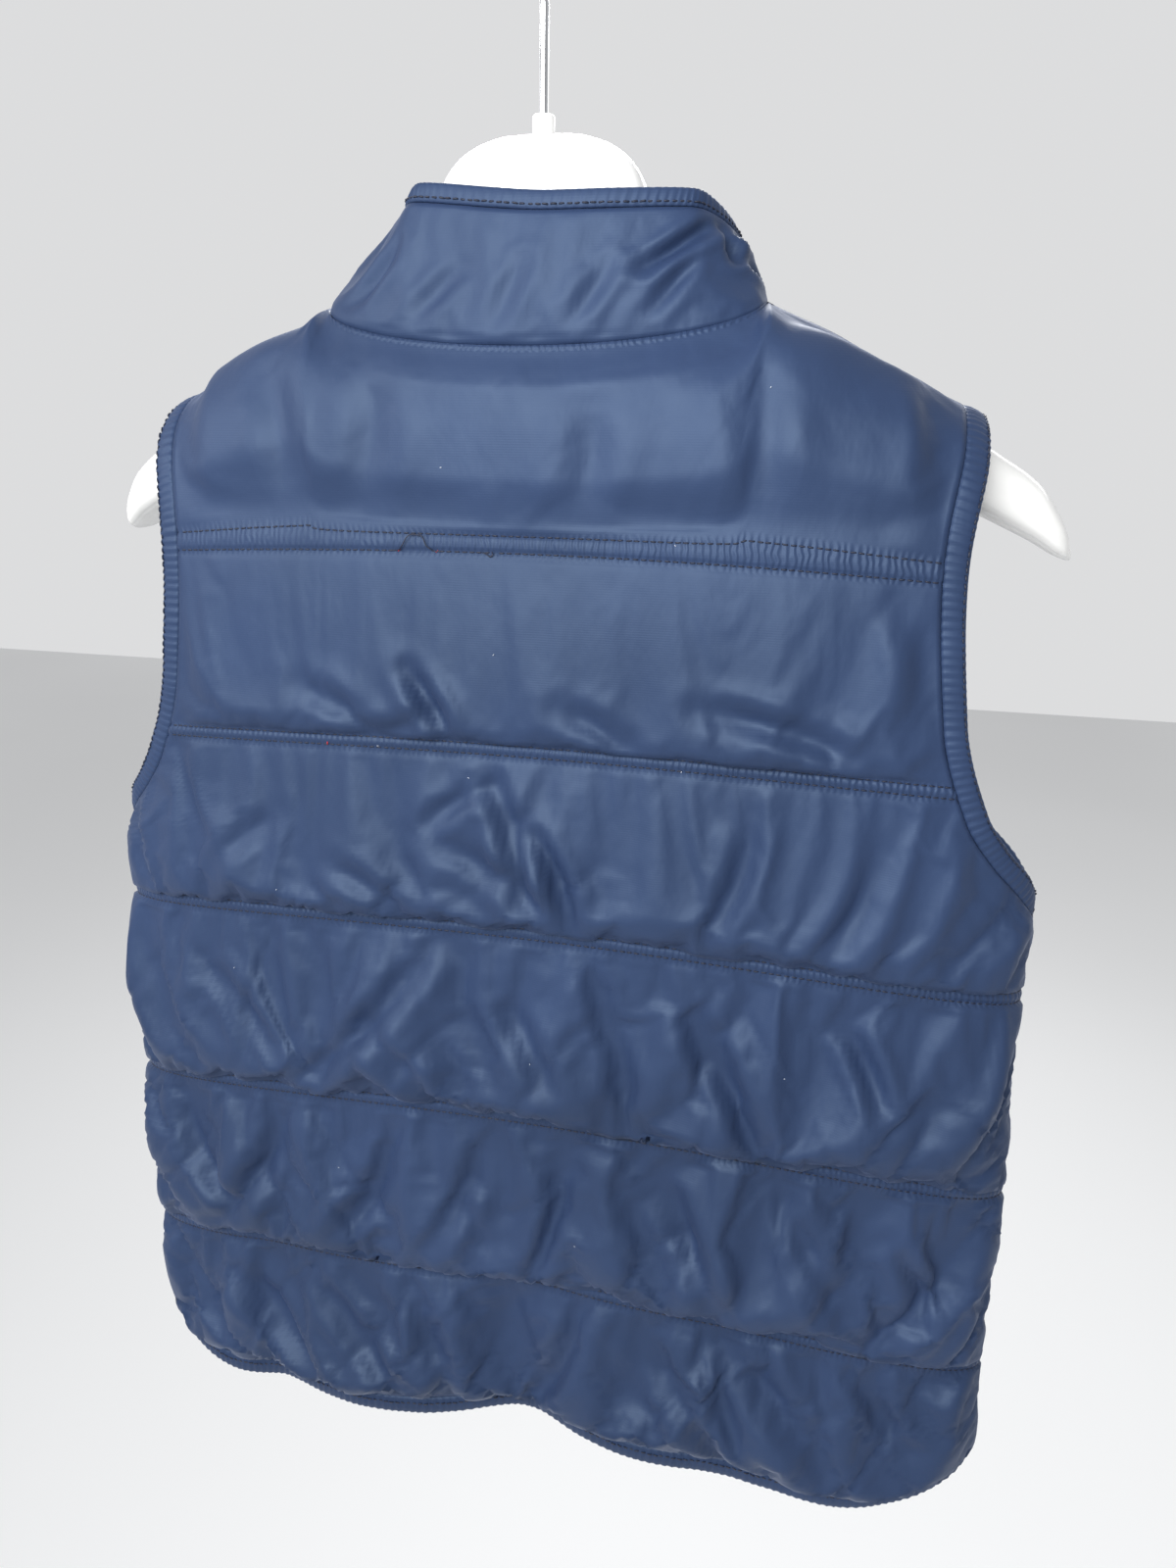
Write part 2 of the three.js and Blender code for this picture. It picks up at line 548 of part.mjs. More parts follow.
// The collar's sheet: columns from the neckline up to the top edge, rows at the shares given.
const COLLAR_ROWS = [0, 0.05, 0.16, 0.32, 0.5, 0.68, 0.8, 0.86];
const COLLAR_PADDING = 6;
const COLLAR_BINDING_ROWS = [0.868, 0.98, 1];
const COLLAR_BINDING_EDGE = 1.4;
const COLLAR_GAP = 0.35;
const COLLAR_BEND = 0.32;
const COLLAR_LIFT = new THREE.Vector3(0, 0, 0.6);
function collarSheet(shares) {
  const base = necklinePoints();
  const lengths = [0];
  for (let k = 1; k < base.length; k++) {
    lengths.push(lengths[k - 1] + base[k].inner.distanceTo(base[k - 1].inner));
  }
  const total = lengths[base.length - 1];
  return base.map(({ inner, outer }, k) => {
    const at = (2 * lengths[k]) / total - 1;
    const along = base[Math.min(k + 1, base.length - 1)].inner.clone().sub(base[Math.max(k - 1, 0)].inner);
    const thick = outer.clone().sub(inner);
    const off = along.cross(thick).normalize();
    if (off.z + (off.x * -inner.x) / 100 < 0) off.negate();
    const from = inner.clone().add(outer).multiplyScalar(0.5).addScaledVector(off, 0.5);
    const column = (name) => read(COLLAR_TOP, "at", name, at);
    const to = new THREE.Vector3(column("x"), column("y"), column("z"));
    const reach = from.distanceTo(to);
    const lean = to.clone().sub(from).normalize();
    const rise = off.clone().add(lean).add(COLLAR_LIFT).normalize();
    const curve = new THREE.CubicBezierCurve3(
      from,
      from.clone().addScaledVector(rise, reach * COLLAR_BEND),
      to.clone().addScaledVector(lean, -reach * COLLAR_BEND),
      to,
    );
    return { at, off, inner, outer, points: shares.map((share) => curve.getPoint(share)) };
  });
}
function collarGrids(shares, heightAt, gap) {
  const columns = collarSheet(shares);
  const inner = [];
  const outer = [];
  shares.forEach((share, i) => {
    inner.push([]);
    outer.push([]);
    columns.forEach((column, k) => {
      const left = columns[Math.max(k - 1, 0)].points[i];
      const right = columns[Math.min(k + 1, columns.length - 1)].points[i];
      const low = column.points[Math.max(i - 1, 0)];
      const high = column.points[Math.min(i + 1, shares.length - 1)];
      const normal = right.clone().sub(left).cross(high.clone().sub(low)).normalize();
      const half = -heightAt(share, column.at) / 2;
      if (i === 0 && gap) {
        const room = Math.abs(Math.abs(column.inner.x) - NECK_HALF_WIDTH) < 5 ? 2.4 * gap : gap;
        inner[i].push(column.inner.clone().addScaledVector(column.off, room));
        outer[i].push(column.outer.clone().addScaledVector(column.off, room));
      } else {
        inner[i].push(column.points[i].clone().addScaledVector(normal, -half));
        outer[i].push(column.points[i].clone().addScaledVector(normal, half));
      }
    });
  });
  return { inner, outer };
}
function collarHeight(share, at) {
  const puff = Math.sin(Math.PI * clamp((share - 0.03) / 0.8)) ** 0.7;
  return SEAM_THICKNESS + (COLLAR_PADDING - SEAM_THICKNESS) * puff * smooth((1 - Math.abs(at)) * 14 - 0.8);
}
function collar() {
  const { inner, outer } = collarGrids(COLLAR_ROWS, collarHeight, COLLAR_GAP);
  return wall(inner, outer);
}
function collarBinding() {
  const height = (share) => (share > 0.99 ? COLLAR_BINDING_EDGE : BINDING_HEIGHT);
  const { inner, outer } = collarGrids(COLLAR_BINDING_ROWS, height, 0);
  return wall(inner, outer);
}

// Each half of the zip's tape: behind the front edge up to the neck, then along the collar's front edge.
const TAPE_THICKNESS = 0.9;
const TAPE_WIDTH = 12;
const TAPE_GAP = 0.6;
function zipTape(side) {
  const sections = [];
  const rows = bodyRows().filter((row, k) => k % 2 === 0);
  rows[0] = 0.03;
  rows[rows.length - 1] = QUILT_ROWS + 0.97;
  for (const row of rows) {
    const ends = [0.35, TAPE_WIDTH].map((s) => {
      const point = inside("front", side * s, row);
      const normal = bodyNormal("front", side * s, row);
      return [-TAPE_GAP, -TAPE_GAP - TAPE_THICKNESS].map((up) => point.clone().addScaledVector(normal, up));
    });
    sections.push([ends[0][0], ends[1][0], ends[1][1], ends[0][1]]);
  }
  const shares = [...COLLAR_ROWS.slice(1), 0.97];
  const height = (share, at) => (share > 0.9 ? BINDING_HEIGHT : collarHeight(share, at));
  const { inner, outer } = collarGrids(shares, height, 0);
  shares.forEach((share, i) => {
    const row = side > 0 ? inner[i].slice().reverse() : inner[i];
    const faceRow = side > 0 ? outer[i].slice().reverse() : outer[i];
    const along = row[0].clone().sub(row[1]).normalize();
    const inward = row[0].clone().sub(faceRow[0]).normalize();
    const ends = [4.5, -7].map((reach) => {
      const point = row[0].clone().addScaledVector(along, reach);
      return [0.55, 0.55 + TAPE_THICKNESS].map((up) => point.clone().addScaledVector(inward, up));
    });
    sections.push([ends[0][0], ends[1][0], ends[1][1], ends[0][1]]);
  });
  return sweep(sections);
}

function mesh(name, geometry, material) {
  const made = new THREE.Mesh(geometry, material);
  made.name = name;
  return made;
}

// The hanger's arms and neck: rounded sections from tip to tip.
const HANGER_SIDES = 14;
function hangerBody() {
  const mirrored = HANGER_STATIONS.slice(1).reverse().map((row) => ({ ...row, x: -row.x }));
  const stations = [...mirrored, ...HANGER_STATIONS];
  const rounded = (value) => Math.sign(value) * Math.abs(value) ** HANGER_SQUARENESS;
  const sections = stations.map(({ x, top, bottom, depth }) => {
    const ring = [];
    for (let i = 0; i < HANGER_SIDES; i++) {
      const angle = (2 * Math.PI * i) / HANGER_SIDES;
      const y = hangerY(x) + depth * rounded(Math.cos(angle));
      ring.push(new THREE.Vector3(x, y, mix(bottom, top, 0.5 + 0.5 * rounded(Math.sin(angle)))));
    }
    return ring;
  });
  return sweep(sections);
}

// The ferrule on the hanger's neck, a ring round the foot of the wire.
function ferrule() {
  const bore = WIRE_RADIUS + 0.35;
  const low = NECK_TOP - 0.5;
  const high = low + FERRULE_HEIGHT;
  const profile = [
    [bore, low],
    [FERRULE_RADIUS, low],
    [FERRULE_RADIUS, high - 1],
    [FERRULE_RADIUS - 1, high],
    [bore, high],
    [bore, low],
  ].map(([x, z]) => new THREE.Vector2(x, z));
  return new THREE.LatheGeometry(profile, 24).rotateX(Math.PI / 2);
}

// The hook: a straight foot, a bend to one side, and an arc over the rail.
function hook() {
  const radius = HOOK_RADIUS + WIRE_RADIUS;
  const centre = -HOOK_RADIUS;
  const foot = NECK_TOP + 1;
  const bend = -64;
  const points = [new THREE.Vector3(0, 0, foot), new THREE.Vector3(0, 0, mix(foot, bend, 0.5))];
  points.push(new THREE.Vector3(0, 0, bend), new THREE.Vector3(1.5, 0, bend + 11));
  for (let degrees = -48; degrees <= 196; degrees += 12) {
    const angle = (degrees * Math.PI) / 180;
    points.push(new THREE.Vector3(radius * Math.cos(angle), 0, centre + radius * Math.sin(angle)));
  }
  const circle = new THREE.Shape();
  circle.absarc(0, 0, WIRE_RADIUS, 0, 2 * Math.PI);
  const path = new THREE.CatmullRomCurve3(points, false, "centripetal");
  const options = { steps: 44, curveSegments: 6, bevelEnabled: false, extrudePath: path };
  return new THREE.ExtrudeGeometry(circle, options);
}

// The zip's slider, at the foot of the neck opening, with an arch that carries its pull tab.
const SLIDER_ROW = QUILT_ROWS + 0.84;
const SLIDER = { width: 8.4, height: 11, thickness: 3 };
const ARCH = { low: -2.8, high: 4.2, leg: 1, room: 2.5, width: 1.6 };
const PIVOT = { out: 4.25, up: 0.7, radius: 0.75 };
const PULL = { width: 6.6, length: 25, thickness: 1.5, window: 5.6, side: 1.3 };
const wasm = await Module();
wasm.setup();
function solid(geometry) {
  const bare = new THREE.BufferGeometry();
  const plain = geometry.index ? geometry.toNonIndexed() : geometry;
  bare.setAttribute("position", plain.getAttribute("position"));
  const merged = mergeVertices(bare, 1e-4);
  return new wasm.Manifold(
    new wasm.Mesh({
      numProp: 3,
      vertProperties: merged.attributes.position.array,
      triVerts: new Uint32Array(merged.index.array),
    }),
  );
}
function geometryOf(made) {
  const { vertProperties, triVerts } = made.getMesh();
  const geometry = new THREE.BufferGeometry();
  geometry.setAttribute("position", new THREE.BufferAttribute(new Float32Array(vertProperties), 3));
  geometry.setIndex(new THREE.BufferAttribute(new Uint32Array(triVerts), 1));
  geometry.computeVertexNormals();
  return geometry;
}
// Turns and moves a piece made upright at the origin to its place on the zip.
function onZip(geometry) {
  const at = inside("front", 0, SLIDER_ROW);
  const slope = inside("front", 0, SLIDER_ROW + 0.05).sub(inside("front", 0, SLIDER_ROW - 0.05));
  geometry.rotateX(Math.atan2(-slope.y, slope.z));
  return geometry.translate(0, at.y - 0.05, at.z);
}
const box = (low, high) => {
  const size = high.clone().sub(low);
  const middle = high.clone().add(low).multiplyScalar(0.5);
  return new THREE.BoxGeometry(size.x, size.y, size.z).translate(middle.x, middle.y, middle.z);
};
function slider() {
  const { width, height, thickness } = SLIDER;
  const plate = new THREE.Shape([
    new THREE.Vector2(-width / 2 + 1.4, -height / 2),
    new THREE.Vector2(width / 2 - 1.4, -height / 2),
    new THREE.Vector2(width / 2, 0.5),
    new THREE.Vector2(width / 2, height / 2 - 1.5),
    new THREE.Vector2(width / 2 - 1.5, height / 2),
    new THREE.Vector2(-width / 2 + 1.5, height / 2),
    new THREE.Vector2(-width / 2, height / 2 - 1.5),
    new THREE.Vector2(-width / 2, 0.5),
  ]);
  const body = new THREE.ExtrudeGeometry(plate, { depth: thickness, bevelEnabled: false, steps: 1 });
  body.rotateX(Math.PI / 2);
  const side = ARCH.width / 2;
  const crown = -thickness - ARCH.room;
  const part = (y, y2, z, z2) => {
    return solid(box(new THREE.Vector3(-side, y, z), new THREE.Vector3(side, y2, z2)));
  };
  const made = solid(body)
    .add(part(crown - ARCH.leg, -thickness + 0.5, ARCH.low, ARCH.low + ARCH.leg))
    .add(part(crown - ARCH.leg, -thickness + 0.5, ARCH.high - ARCH.leg, ARCH.high))
    .add(part(crown - ARCH.leg, crown, ARCH.low, ARCH.high));
  return onZip(geometryOf(made));
}

// The pull tab: a flat tab with a window, whose upper bar is round and lies in the slider's arch.
function pullTab() {
  const { width, length, thickness, window, side } = PULL;
  const outline = [
    [-2.3, 0],
    [-2.3, -window + 0.6],
    [-width / 2, -window - 1.6],
    [-width / 2, -length + 2],
    [-width / 2 + 2, -length],
    [width / 2 - 2, -length],
    [width / 2, -length + 2],
    [width / 2, -window - 1.6],
    [2.3, -window + 0.6],
    [2.3, 0],
    [2.3 - side, 0],
    [2.3 - side, -window],
    [side - 2.3, -window],
    [side - 2.3, 0],
  ].map(([x, z]) => new THREE.Vector2(x, z));
  const options = { depth: thickness, bevelEnabled: false, steps: 1 };
  const tab = new THREE.ExtrudeGeometry(new THREE.Shape(outline), options);
  tab.rotateX(Math.PI / 2).translate(0, thickness / 2, 0);
  const bar = new THREE.CylinderGeometry(PIVOT.radius, PIVOT.radius, 4.6, 16).rotateZ(Math.PI / 2);
  const made = geometryOf(solid(tab).add(solid(bar)));
  return onZip(made.translate(0, -PIVOT.out, PIVOT.up));
}

const root = new THREE.Group();
root.add(mesh("back", panel("back"), MATERIALS.shell));
root.add(mesh("front_left", panel("front_left"), MATERIALS.shell));
root.add(mesh("front_right", panel("front_right"), MATERIALS.shell));
root.add(mesh("collar", collar(), MATERIALS.shell));
root.add(mesh("collar_binding", collarBinding(), MATERIALS.shell));
root.add(mesh("armhole_binding_left", armholeBinding(1), MATERIALS.shell));
root.add(mesh("armhole_binding_right", armholeBinding(-1), MATERIALS.shell));
root.add(mesh("hem_binding", hemBinding(), MATERIALS.shell));
root.add(mesh("zip_tape_left", zipTape(1), MATERIALS.tape));
root.add(mesh("zip_tape_right", zipTape(-1), MATERIALS.tape));
root.add(mesh("zip_slider", slider(), MATERIALS.metal));
root.add(mesh("zip_pull", pullTab(), MATERIALS.metal));
root.add(mesh("hanger_body", hangerBody(), MATERIALS.plastic));
root.add(mesh("hanger_ferrule", ferrule(), MATERIALS.plastic));
root.add(mesh("hanger_hook", hook(), MATERIALS.metal));

export default root;
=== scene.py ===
"""A padded navy gilet, quilted in rows, hanging on a wide white hanger and seen from behind.

The cloth's surfaces are worked out in millimetres from the same sizes as the solids, at a fine step.
They are settled by a cloth simulation between their seams, and made into walls in metres.
"""

import math

import bmesh
import bpy
import numpy as np
from mathutils import Matrix, Vector


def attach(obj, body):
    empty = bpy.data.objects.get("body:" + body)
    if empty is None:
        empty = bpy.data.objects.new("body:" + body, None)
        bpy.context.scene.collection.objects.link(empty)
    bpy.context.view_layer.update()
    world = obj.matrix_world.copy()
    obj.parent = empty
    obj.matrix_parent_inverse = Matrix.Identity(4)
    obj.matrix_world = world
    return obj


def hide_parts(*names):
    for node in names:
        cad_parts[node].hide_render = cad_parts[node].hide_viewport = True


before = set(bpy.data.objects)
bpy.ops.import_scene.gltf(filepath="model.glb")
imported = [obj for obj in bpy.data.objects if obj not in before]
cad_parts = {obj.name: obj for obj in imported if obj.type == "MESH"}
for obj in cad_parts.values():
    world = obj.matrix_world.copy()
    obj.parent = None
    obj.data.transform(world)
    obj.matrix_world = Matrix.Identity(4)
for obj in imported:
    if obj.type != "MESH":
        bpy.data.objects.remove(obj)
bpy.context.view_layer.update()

MM = 0.001

# Driving sizes of the hanger and the garment, in millimetres
HANGER_HALF_WIDTH = 217.0
HANGER_FORWARD_SWEEP = 38.0
NECK_TOP = -108.0
WIRE_RADIUS = 1.75
HOOK_RADIUS = 20.0
FERRULE_RADIUS = 4.4
FERRULE_HEIGHT = 7.5
QUILT_PITCH = 88.0
QUILT_ROWS = 5
NECK_HALF_WIDTH = 90.0
BACK_NECK_DROP = 17.0
FRONT_NECK_DROP = 52.0
SEAM_GAP = 0.3
SEAM_THICKNESS = 2.6
PADDING = 7.0
EDGE_BAND = 10.0
CHANNEL_HALF = 2.4
FRONT_EDGE = 5.5
SECTION_POWER = 2.4
SHOULDER_POWER = 0.8
HEM_STRAIGHT = 140.0
BACK_HEM_RISE = 44.0
FRONT_HEM_RISE = 22.0
SHOULDER_FILL = 2.0
SHOULDER_FILL_WIDTH = 30.0
SHOULDER_STANDOFF = 3.0
STANDOFF_START = 145.0
STANDOFF_WIDTH = 35.0
NECK_SLOPE = 0.35
ARM_CLEARANCE = 2.0
UNDERARM = 3.31
SHOULDER = QUILT_ROWS + 1

# Widths over which the padding rises from the edges, the zip and the neck point
EDGE_RISE = 22.0
ZIP_RISE = 20.0
NECK_RISE = 40.0

# Step of the fine grids
CLOTH_STEP = 2.4
BINDING_STEP = 1.1


def table(text):
    """Rows of numbers under named columns."""
    lines = [line.split() for line in text.strip().splitlines()]
    return {name: np.array([float(row[k]) for row in lines[1:]]) for k, name in enumerate(lines[0])}


SEAM_LINES = table("""
row z      left right
0   -708   28   31
1   -617.5 20   27
2   -525   18   23
3   -431   13.5 20
4   -348.5 10   12
5   -265   9    11
""")

SECTIONS = table("""
z    left right back front side
-705 213  217   14   -50   -18
-617 215  217   19   -52   -17
-529 215  217   25   -54   -15
-441 212  214   30   -54   -12
-353 206  214   33   -52   -10
-265 203  212   33   -47   -9
""")

ARMHOLE = table("""
row  back  front
0    1     1
3.31 1     1
3.5  0.93  0.915
3.66 0.862 0.835
3.85 0.808 0.768
4.3  0.752 0.712
5    0.732 0.702
5.5  0.75  0.73
6    0.743 0.743
""")

# The hanger's outline: depth is half its depth, and drop is measured down from the top of its neck
HANGER = table("""
x     drop bottom depth
0     0    -192   17
14    0.6  -192   17
24    3    -192.5 17
32    7    -193   16.5
38    13   -193.5 16
42    21   -194   15.5
46    33   -195   15
53    44   -197   14.5
65    53   -200   14
80    61   -205   14
92    67   -210   14
115   78.5 -220   15.5
140   92   -232   17.5
165   105.5 -243  19
185   117  -252   20
202   128  -260   20
210   138  -264.5 18
215   147  -266.5 14
217   154  -267   8
""")
HANGER["top"] = NECK_TOP - HANGER["drop"]

# Upper edge of the collar, from the right front end round the back to the left front end
COLLAR_TOP = table("""
at    x   y   drop
-1    -50 -96 68
-0.8  -74 -70 56
-0.6  -77 -38 44
-0.4  -73 -8  31
-0.24 -63 16  24
0     -12 26  25
0.24  43  21  20
0.4   52  0   24
0.6   62  -32 36
0.8   62  -66 48
1     42  -92 62
""")

HEM_WAVES = {
    "back": table("""
at   width out
-150 34    5
-62  34    6
2    26    -13
78   38    8
140  20    -7
"""),
    "front": table("""
at   width out
-120 34    7
-62  24    -6
70   28    -7
135  36    7
"""),
}

# Creases of the outer cloth: two ends, each as distance from the centre line and row, half width and depth
CREASES = {
    "back": table("""
s    row  to_s to_row width depth
46   4.4  28   4.03   7     4.2
-75  4.3  -146 4.09   8     3.4
33   4.2  70   4.06   7     2.2
-20  4.25 -52  4.05   8     2.6
96   4.3  60   4.05   9     2.4
12   3.9  -6   3.2    8     3.4
44   3.55 6    3.85   7     2.4
-6   3.67 -27  3.08   7     4.4
33   3.5  -20  3.12   9     3.2
84   3.35 48   3.06   8     3.0
-100 3.8  -84  3.2    8     2.4
-150 3.7  -128 3.1    9     2.6
150  3.2  110  3.6    8     2.2
33   2.98 126  2.05   9     3.6
-62  2.88 -113 2.06   10    4.4
-141 2.82 -161 2.4    7     3.6
70   2.5  40   2.1    8     2.8
10   2.7  -20  2.2    8     2.6
160  2.7  120  2.3    8     2.8
-30  2.9  -50  2.3    8     2.6
60   1.9  98   1.2    9     3.4
120  1.9  165  1.2    9     3.4
20   1.8  52   1.15   8     3.2
-20  1.9  -8   1.2    8     2.8
-60  1.9  -96  1.15   9     3.6
-116 1.9  -156 1.1    10    3.4
150  1.3  186  1.8    8     2.8
-170 1.7  -190 1.3    7     2.6
170  0.85 100  0.1    10    5.0
120  0.9  64   0.2    8     3.4
60   0.88 38   0.1    9     3.8
-30  0.9  -8   0.25   8     3.0
-96  0.92 -156 0.25   11    4.6
-50  0.9  -104 0.12   9     4.0
-150 0.95 -186 0.5    8     3.2
-152 5.7  -166 5.05   10    2.0
-150 4.9  -166 4.3    9     2.4
60   5.7  66   5.15   12    1.6
-30  5.6  -26  5.1    12    1.4
110  5.5  100  5.1    11    1.8
-90  5.5  -96  5.1    11    1.8
"""),
    "front": table("""
s    row  to_s to_row width depth
60   2.9  120  2.15   9     3.6
-48  1.9  -104 1.15   9     3.6
96   0.9  64   0.15   10    3.8
-120 3.3  -70  3.85   8     3.0
40   4.3  100  4.06   8     3.0
-60  4.35 -30  4.05   7     3.2
-40  3.5  -80  3.1    8     3.0
80   3.7  110  3.1    8     3.0
-120 2.8  -70  2.2    9     3.4
130  1.9  160  1.2    8     3.0
50   1.8  36   1.15   8     3.0
-150 1.8  -120 1.2    8     2.8
-50  0.9  -90  0.15   9     3.8
-140 0.85 -170 0.2    9     3.2
150  0.8  120  0.2    8     3.0
-100 5.5  -96  5.1    11    2.0
110  5.5  104  5.1    11    2.0
"""),
}


def clamp(value, low=0.0, high=1.0):
    return np.minimum(high, np.maximum(low, value))


def mix(a, b, share):
    return a + (b - a) * share


def smooth(value):
    t = clamp(value)
    return t * t * (3 - 2 * t)


def read(rows, key, column, value):
    """A column of a table at a value of its key column, on a smooth curve through the rows."""
    keys, values = rows[key], rows[column]
    at = clamp(np.asarray(value, float), keys[0], keys[-1])
    i = np.clip(np.searchsorted(keys, at, side="right") - 1, 0, len(keys) - 2)
    slopes = np.diff(values) / np.diff(keys)
    before, after = slopes[:-1], slopes[1:]
    with np.errstate(divide="ignore", invalid="ignore"):
        inner = np.where(before * after <= 0, 0.0, 2 * before * after / (before + after))
    tangents = np.concatenate([[slopes[0]], inner, [slopes[-1]]])
    low = np.where(i == 0, slopes[0], tangents[i])
    high = np.where(i == len(keys) - 2, slopes[-1], tangents[i + 1])
    span = keys[i + 1] - keys[i]
    t = (at - keys[i]) / span
    rise = values[i + 1] - values[i]
    bend = low * t * (1 - t) ** 2 - high * t * t * (1 - t)
    return values[i] + rise * t * t * (3 - 2 * t) + span * bend


def noise(u, v, cell_u, cell_v, seed):
    """Smooth noise from -1 to 1 over a plane, with cells of the given sizes."""
    lattice = np.random.default_rng(seed).uniform(-1, 1, (256, 256))
    a, b = np.asarray(u) / cell_u + 64.3, np.asarray(v) / cell_v + 64.7
    i, j = np.floor(a).astype(int), np.floor(b).astype(int)
    p, q = smooth(a - i), smooth(b - j)
    take = lambda di, dj: lattice[(i + di) % 256, (j + dj) % 256]
    return mix(mix(take(0, 0), take(1, 0), p), mix(take(0, 1), take(1, 1), p), q)


# The quarter sections and the surface of the body, for arrays of points

QUARTER_ANGLES = np.linspace(0, math.pi / 2, 65)
QUARTER_X = np.sin(QUARTER_ANGLES) ** (2 / SECTION_POWER)
QUARTER_Y = np.maximum(0, np.cos(QUARTER_ANGLES)) ** (2 / SECTION_POWER)


def row_height(row):
    return read(SEAM_LINES, "row", "z", row) + np.minimum(row, 0) * QUILT_PITCH


def quarter_size(face, side, level):
    """Half width and depth of the quarter section of one face on one side, at a height."""
    left, right = read(SECTIONS, "z", "left", level), read(SECTIONS, "z", "right", level)
    depth = np.abs(read(SECTIONS, "z", face, level) - read(SECTIONS, "z", "side", level))
    return np.where(side > 0, left, right), depth


def quarter_curve(half_width, depth):
    """Points of a quarter section, and the length of its curve up to each of them."""
    x = half_width[..., None] * QUARTER_X
    y = depth[..., None] * QUARTER_Y
    steps = np.hypot(np.diff(x, axis=-1), np.diff(y, axis=-1))
    lengths = np.concatenate([np.zeros_like(steps[..., :1]), np.cumsum(steps, axis=-1)], axis=-1)
    return x, y, lengths


def half_length(face, side, row):
    width, depth = quarter_size(face, np.asarray(side), row_height(np.asarray(row, float)))
    return quarter_curve(width, depth)[2][..., -1]


def edge_length(face, side, row):
    return half_length(face, side, row) * read(ARMHOLE, "row", face, row)


def hanger_y(x):
    return -HANGER_FORWARD_SWEEP * (x / HANGER_HALF_WIDTH) ** 2


def hanger_top(x):
    return read(HANGER, "x", "top", np.abs(x))


def arm_reach(x, z):
    """Half depth of the hanger's arm at a height, with room for the cloth that lies on it."""
    out = np.abs(x)
    top = read(HANGER, "x", "top", out) + ARM_CLEARANCE
    bottom = read(HANGER, "x", "bottom", out) - ARM_CLEARANCE
    sine = clamp(np.abs((2 * z - top - bottom) / (top - bottom))) ** (4 / 3)
    return (read(HANGER, "x", "depth", out) + ARM_CLEARANCE) * np.sqrt(1 - sine * sine) ** 0.75


def ridge(x):
    """Height of the inside of the cloth along the top of the hanger's arms."""
    out = np.abs(x)
    fill = SHOULDER_FILL * smooth((out - NECK_HALF_WIDTH) / SHOULDER_FILL_WIDTH)
    standoff = SHOULDER_STANDOFF * smooth((out - STANDOFF_START) / STANDOFF_WIDTH)
    shoulder = hanger_top(out) + ARM_CLEARANCE + fill + standoff
    neck = hanger_top(NECK_HALF_WIDTH) + ARM_CLEARANCE + NECK_SLOPE * (NECK_HALF_WIDTH - out)
    return np.where(out < NECK_HALF_WIDTH, neck, shoulder)


def neckline(face, x):
    drop = BACK_NECK_DROP if face == "back" else FRONT_NECK_DROP
    return ridge(NECK_HALF_WIDTH) - drop * np.sqrt(np.maximum(0, 1 - (x / NECK_HALF_WIDTH) ** 2))


def hem_wave(face, s, row):
    waves = HEM_WAVES[face]
    out = sum(o * np.exp(-(((s - a) / w) ** 2)) for a, w, o in zip(waves["at"], waves["width"], waves["out"]))
    return out * smooth(1 - row / 1.5)


def place(face, s, row, turn):
    """Points of the inside of the body. Over the top seam, turn is the angle the cloth has arched through."""
    s, row, turn = np.broadcast_arrays(np.asarray(s, float), np.asarray(row, float), np.asarray(turn, float))
    side = np.where(s < 0, -1.0, 1.0)
    facing = 1.0 if face == "back" else -1.0
    level = row_height(row)
    width, depth = quarter_size(face, side, level)
    curve_x, curve_y, lengths = quarter_curve(width, depth)
    total = lengths[..., -1]
    far = np.minimum(np.abs(s), total)
    i = np.clip((lengths < far[..., None]).sum(axis=-1) - 1, 0, len(QUARTER_X) - 2)
    pick = lambda rows, k: np.take_along_axis(rows, k[..., None], axis=-1)[..., 0]
    t = (far - pick(lengths, i)) / (pick(lengths, i + 1) - pick(lengths, i))
    x = side * mix(pick(curve_x, i), pick(curve_x, i + 1), t)
    flat_y = mix(pick(curve_y, i), pick(curve_y, i + 1), t)
    sag = np.where(side > 0, read(SEAM_LINES, "row", "left", row), read(SEAM_LINES, "row", "right", row))
    y = read(SECTIONS, "z", "side", level) + facing * flat_y
    z = level - sag * (s / total) ** 2
    rise = BACK_HEM_RISE if face == "back" else FRONT_HEM_RISE
    lift = 0 if face == "back" else BACK_HEM_RISE - FRONT_HEM_RISE
    corner = clamp((np.abs(s) - HEM_STRAIGHT) / (total - HEM_STRAIGHT))
    z = z + np.where(row < 1, (1 - row) * (lift + rise * corner**2.5), 0)
    y = y + facing * hem_wave(face, s, row) * (1 - (s / total) ** 4)
    over = row > QUILT_ROWS
    arch_z = z + (ridge(x) - z) * np.sin(turn) ** SHOULDER_POWER
    arch = np.maximum(0, np.cos(turn)) ** SHOULDER_POWER * np.abs(y - hanger_y(x))
    arch_y = hanger_y(x) + facing * np.maximum(arch, arm_reach(x, arch_z))
    return np.stack([x, np.where(over, arch_y, y), np.where(over, arch_z, z)], axis=-1)


def turn_at(face, s, row):
    """Angle that the cloth has arched through, up to the neckline or the shoulder's ridge."""
    foot = place(face, s, np.full_like(np.asarray(s, float), QUILT_ROWS), 0.0)
    crest = ridge(foot[..., 0])
    top = np.where(np.abs(foot[..., 0]) < NECK_HALF_WIDTH, neckline(face, foot[..., 0]), crest)
    share = clamp((top - foot[..., 2]) / (crest - foot[..., 2]))
    return np.where(row > QUILT_ROWS, (row - QUILT_ROWS) * np.arcsin(share ** (1 / SHOULDER_POWER)), 0.0)


def inside(face, s, row):
    s, row = np.broadcast_arrays(np.asarray(s, float), np.asarray(row, float))
    return place(face, s, row, turn_at(face, s, row))


def unit(vectors):
    return vectors / np.maximum(np.linalg.norm(vectors, axis=-1, keepdims=True), 1e-9)


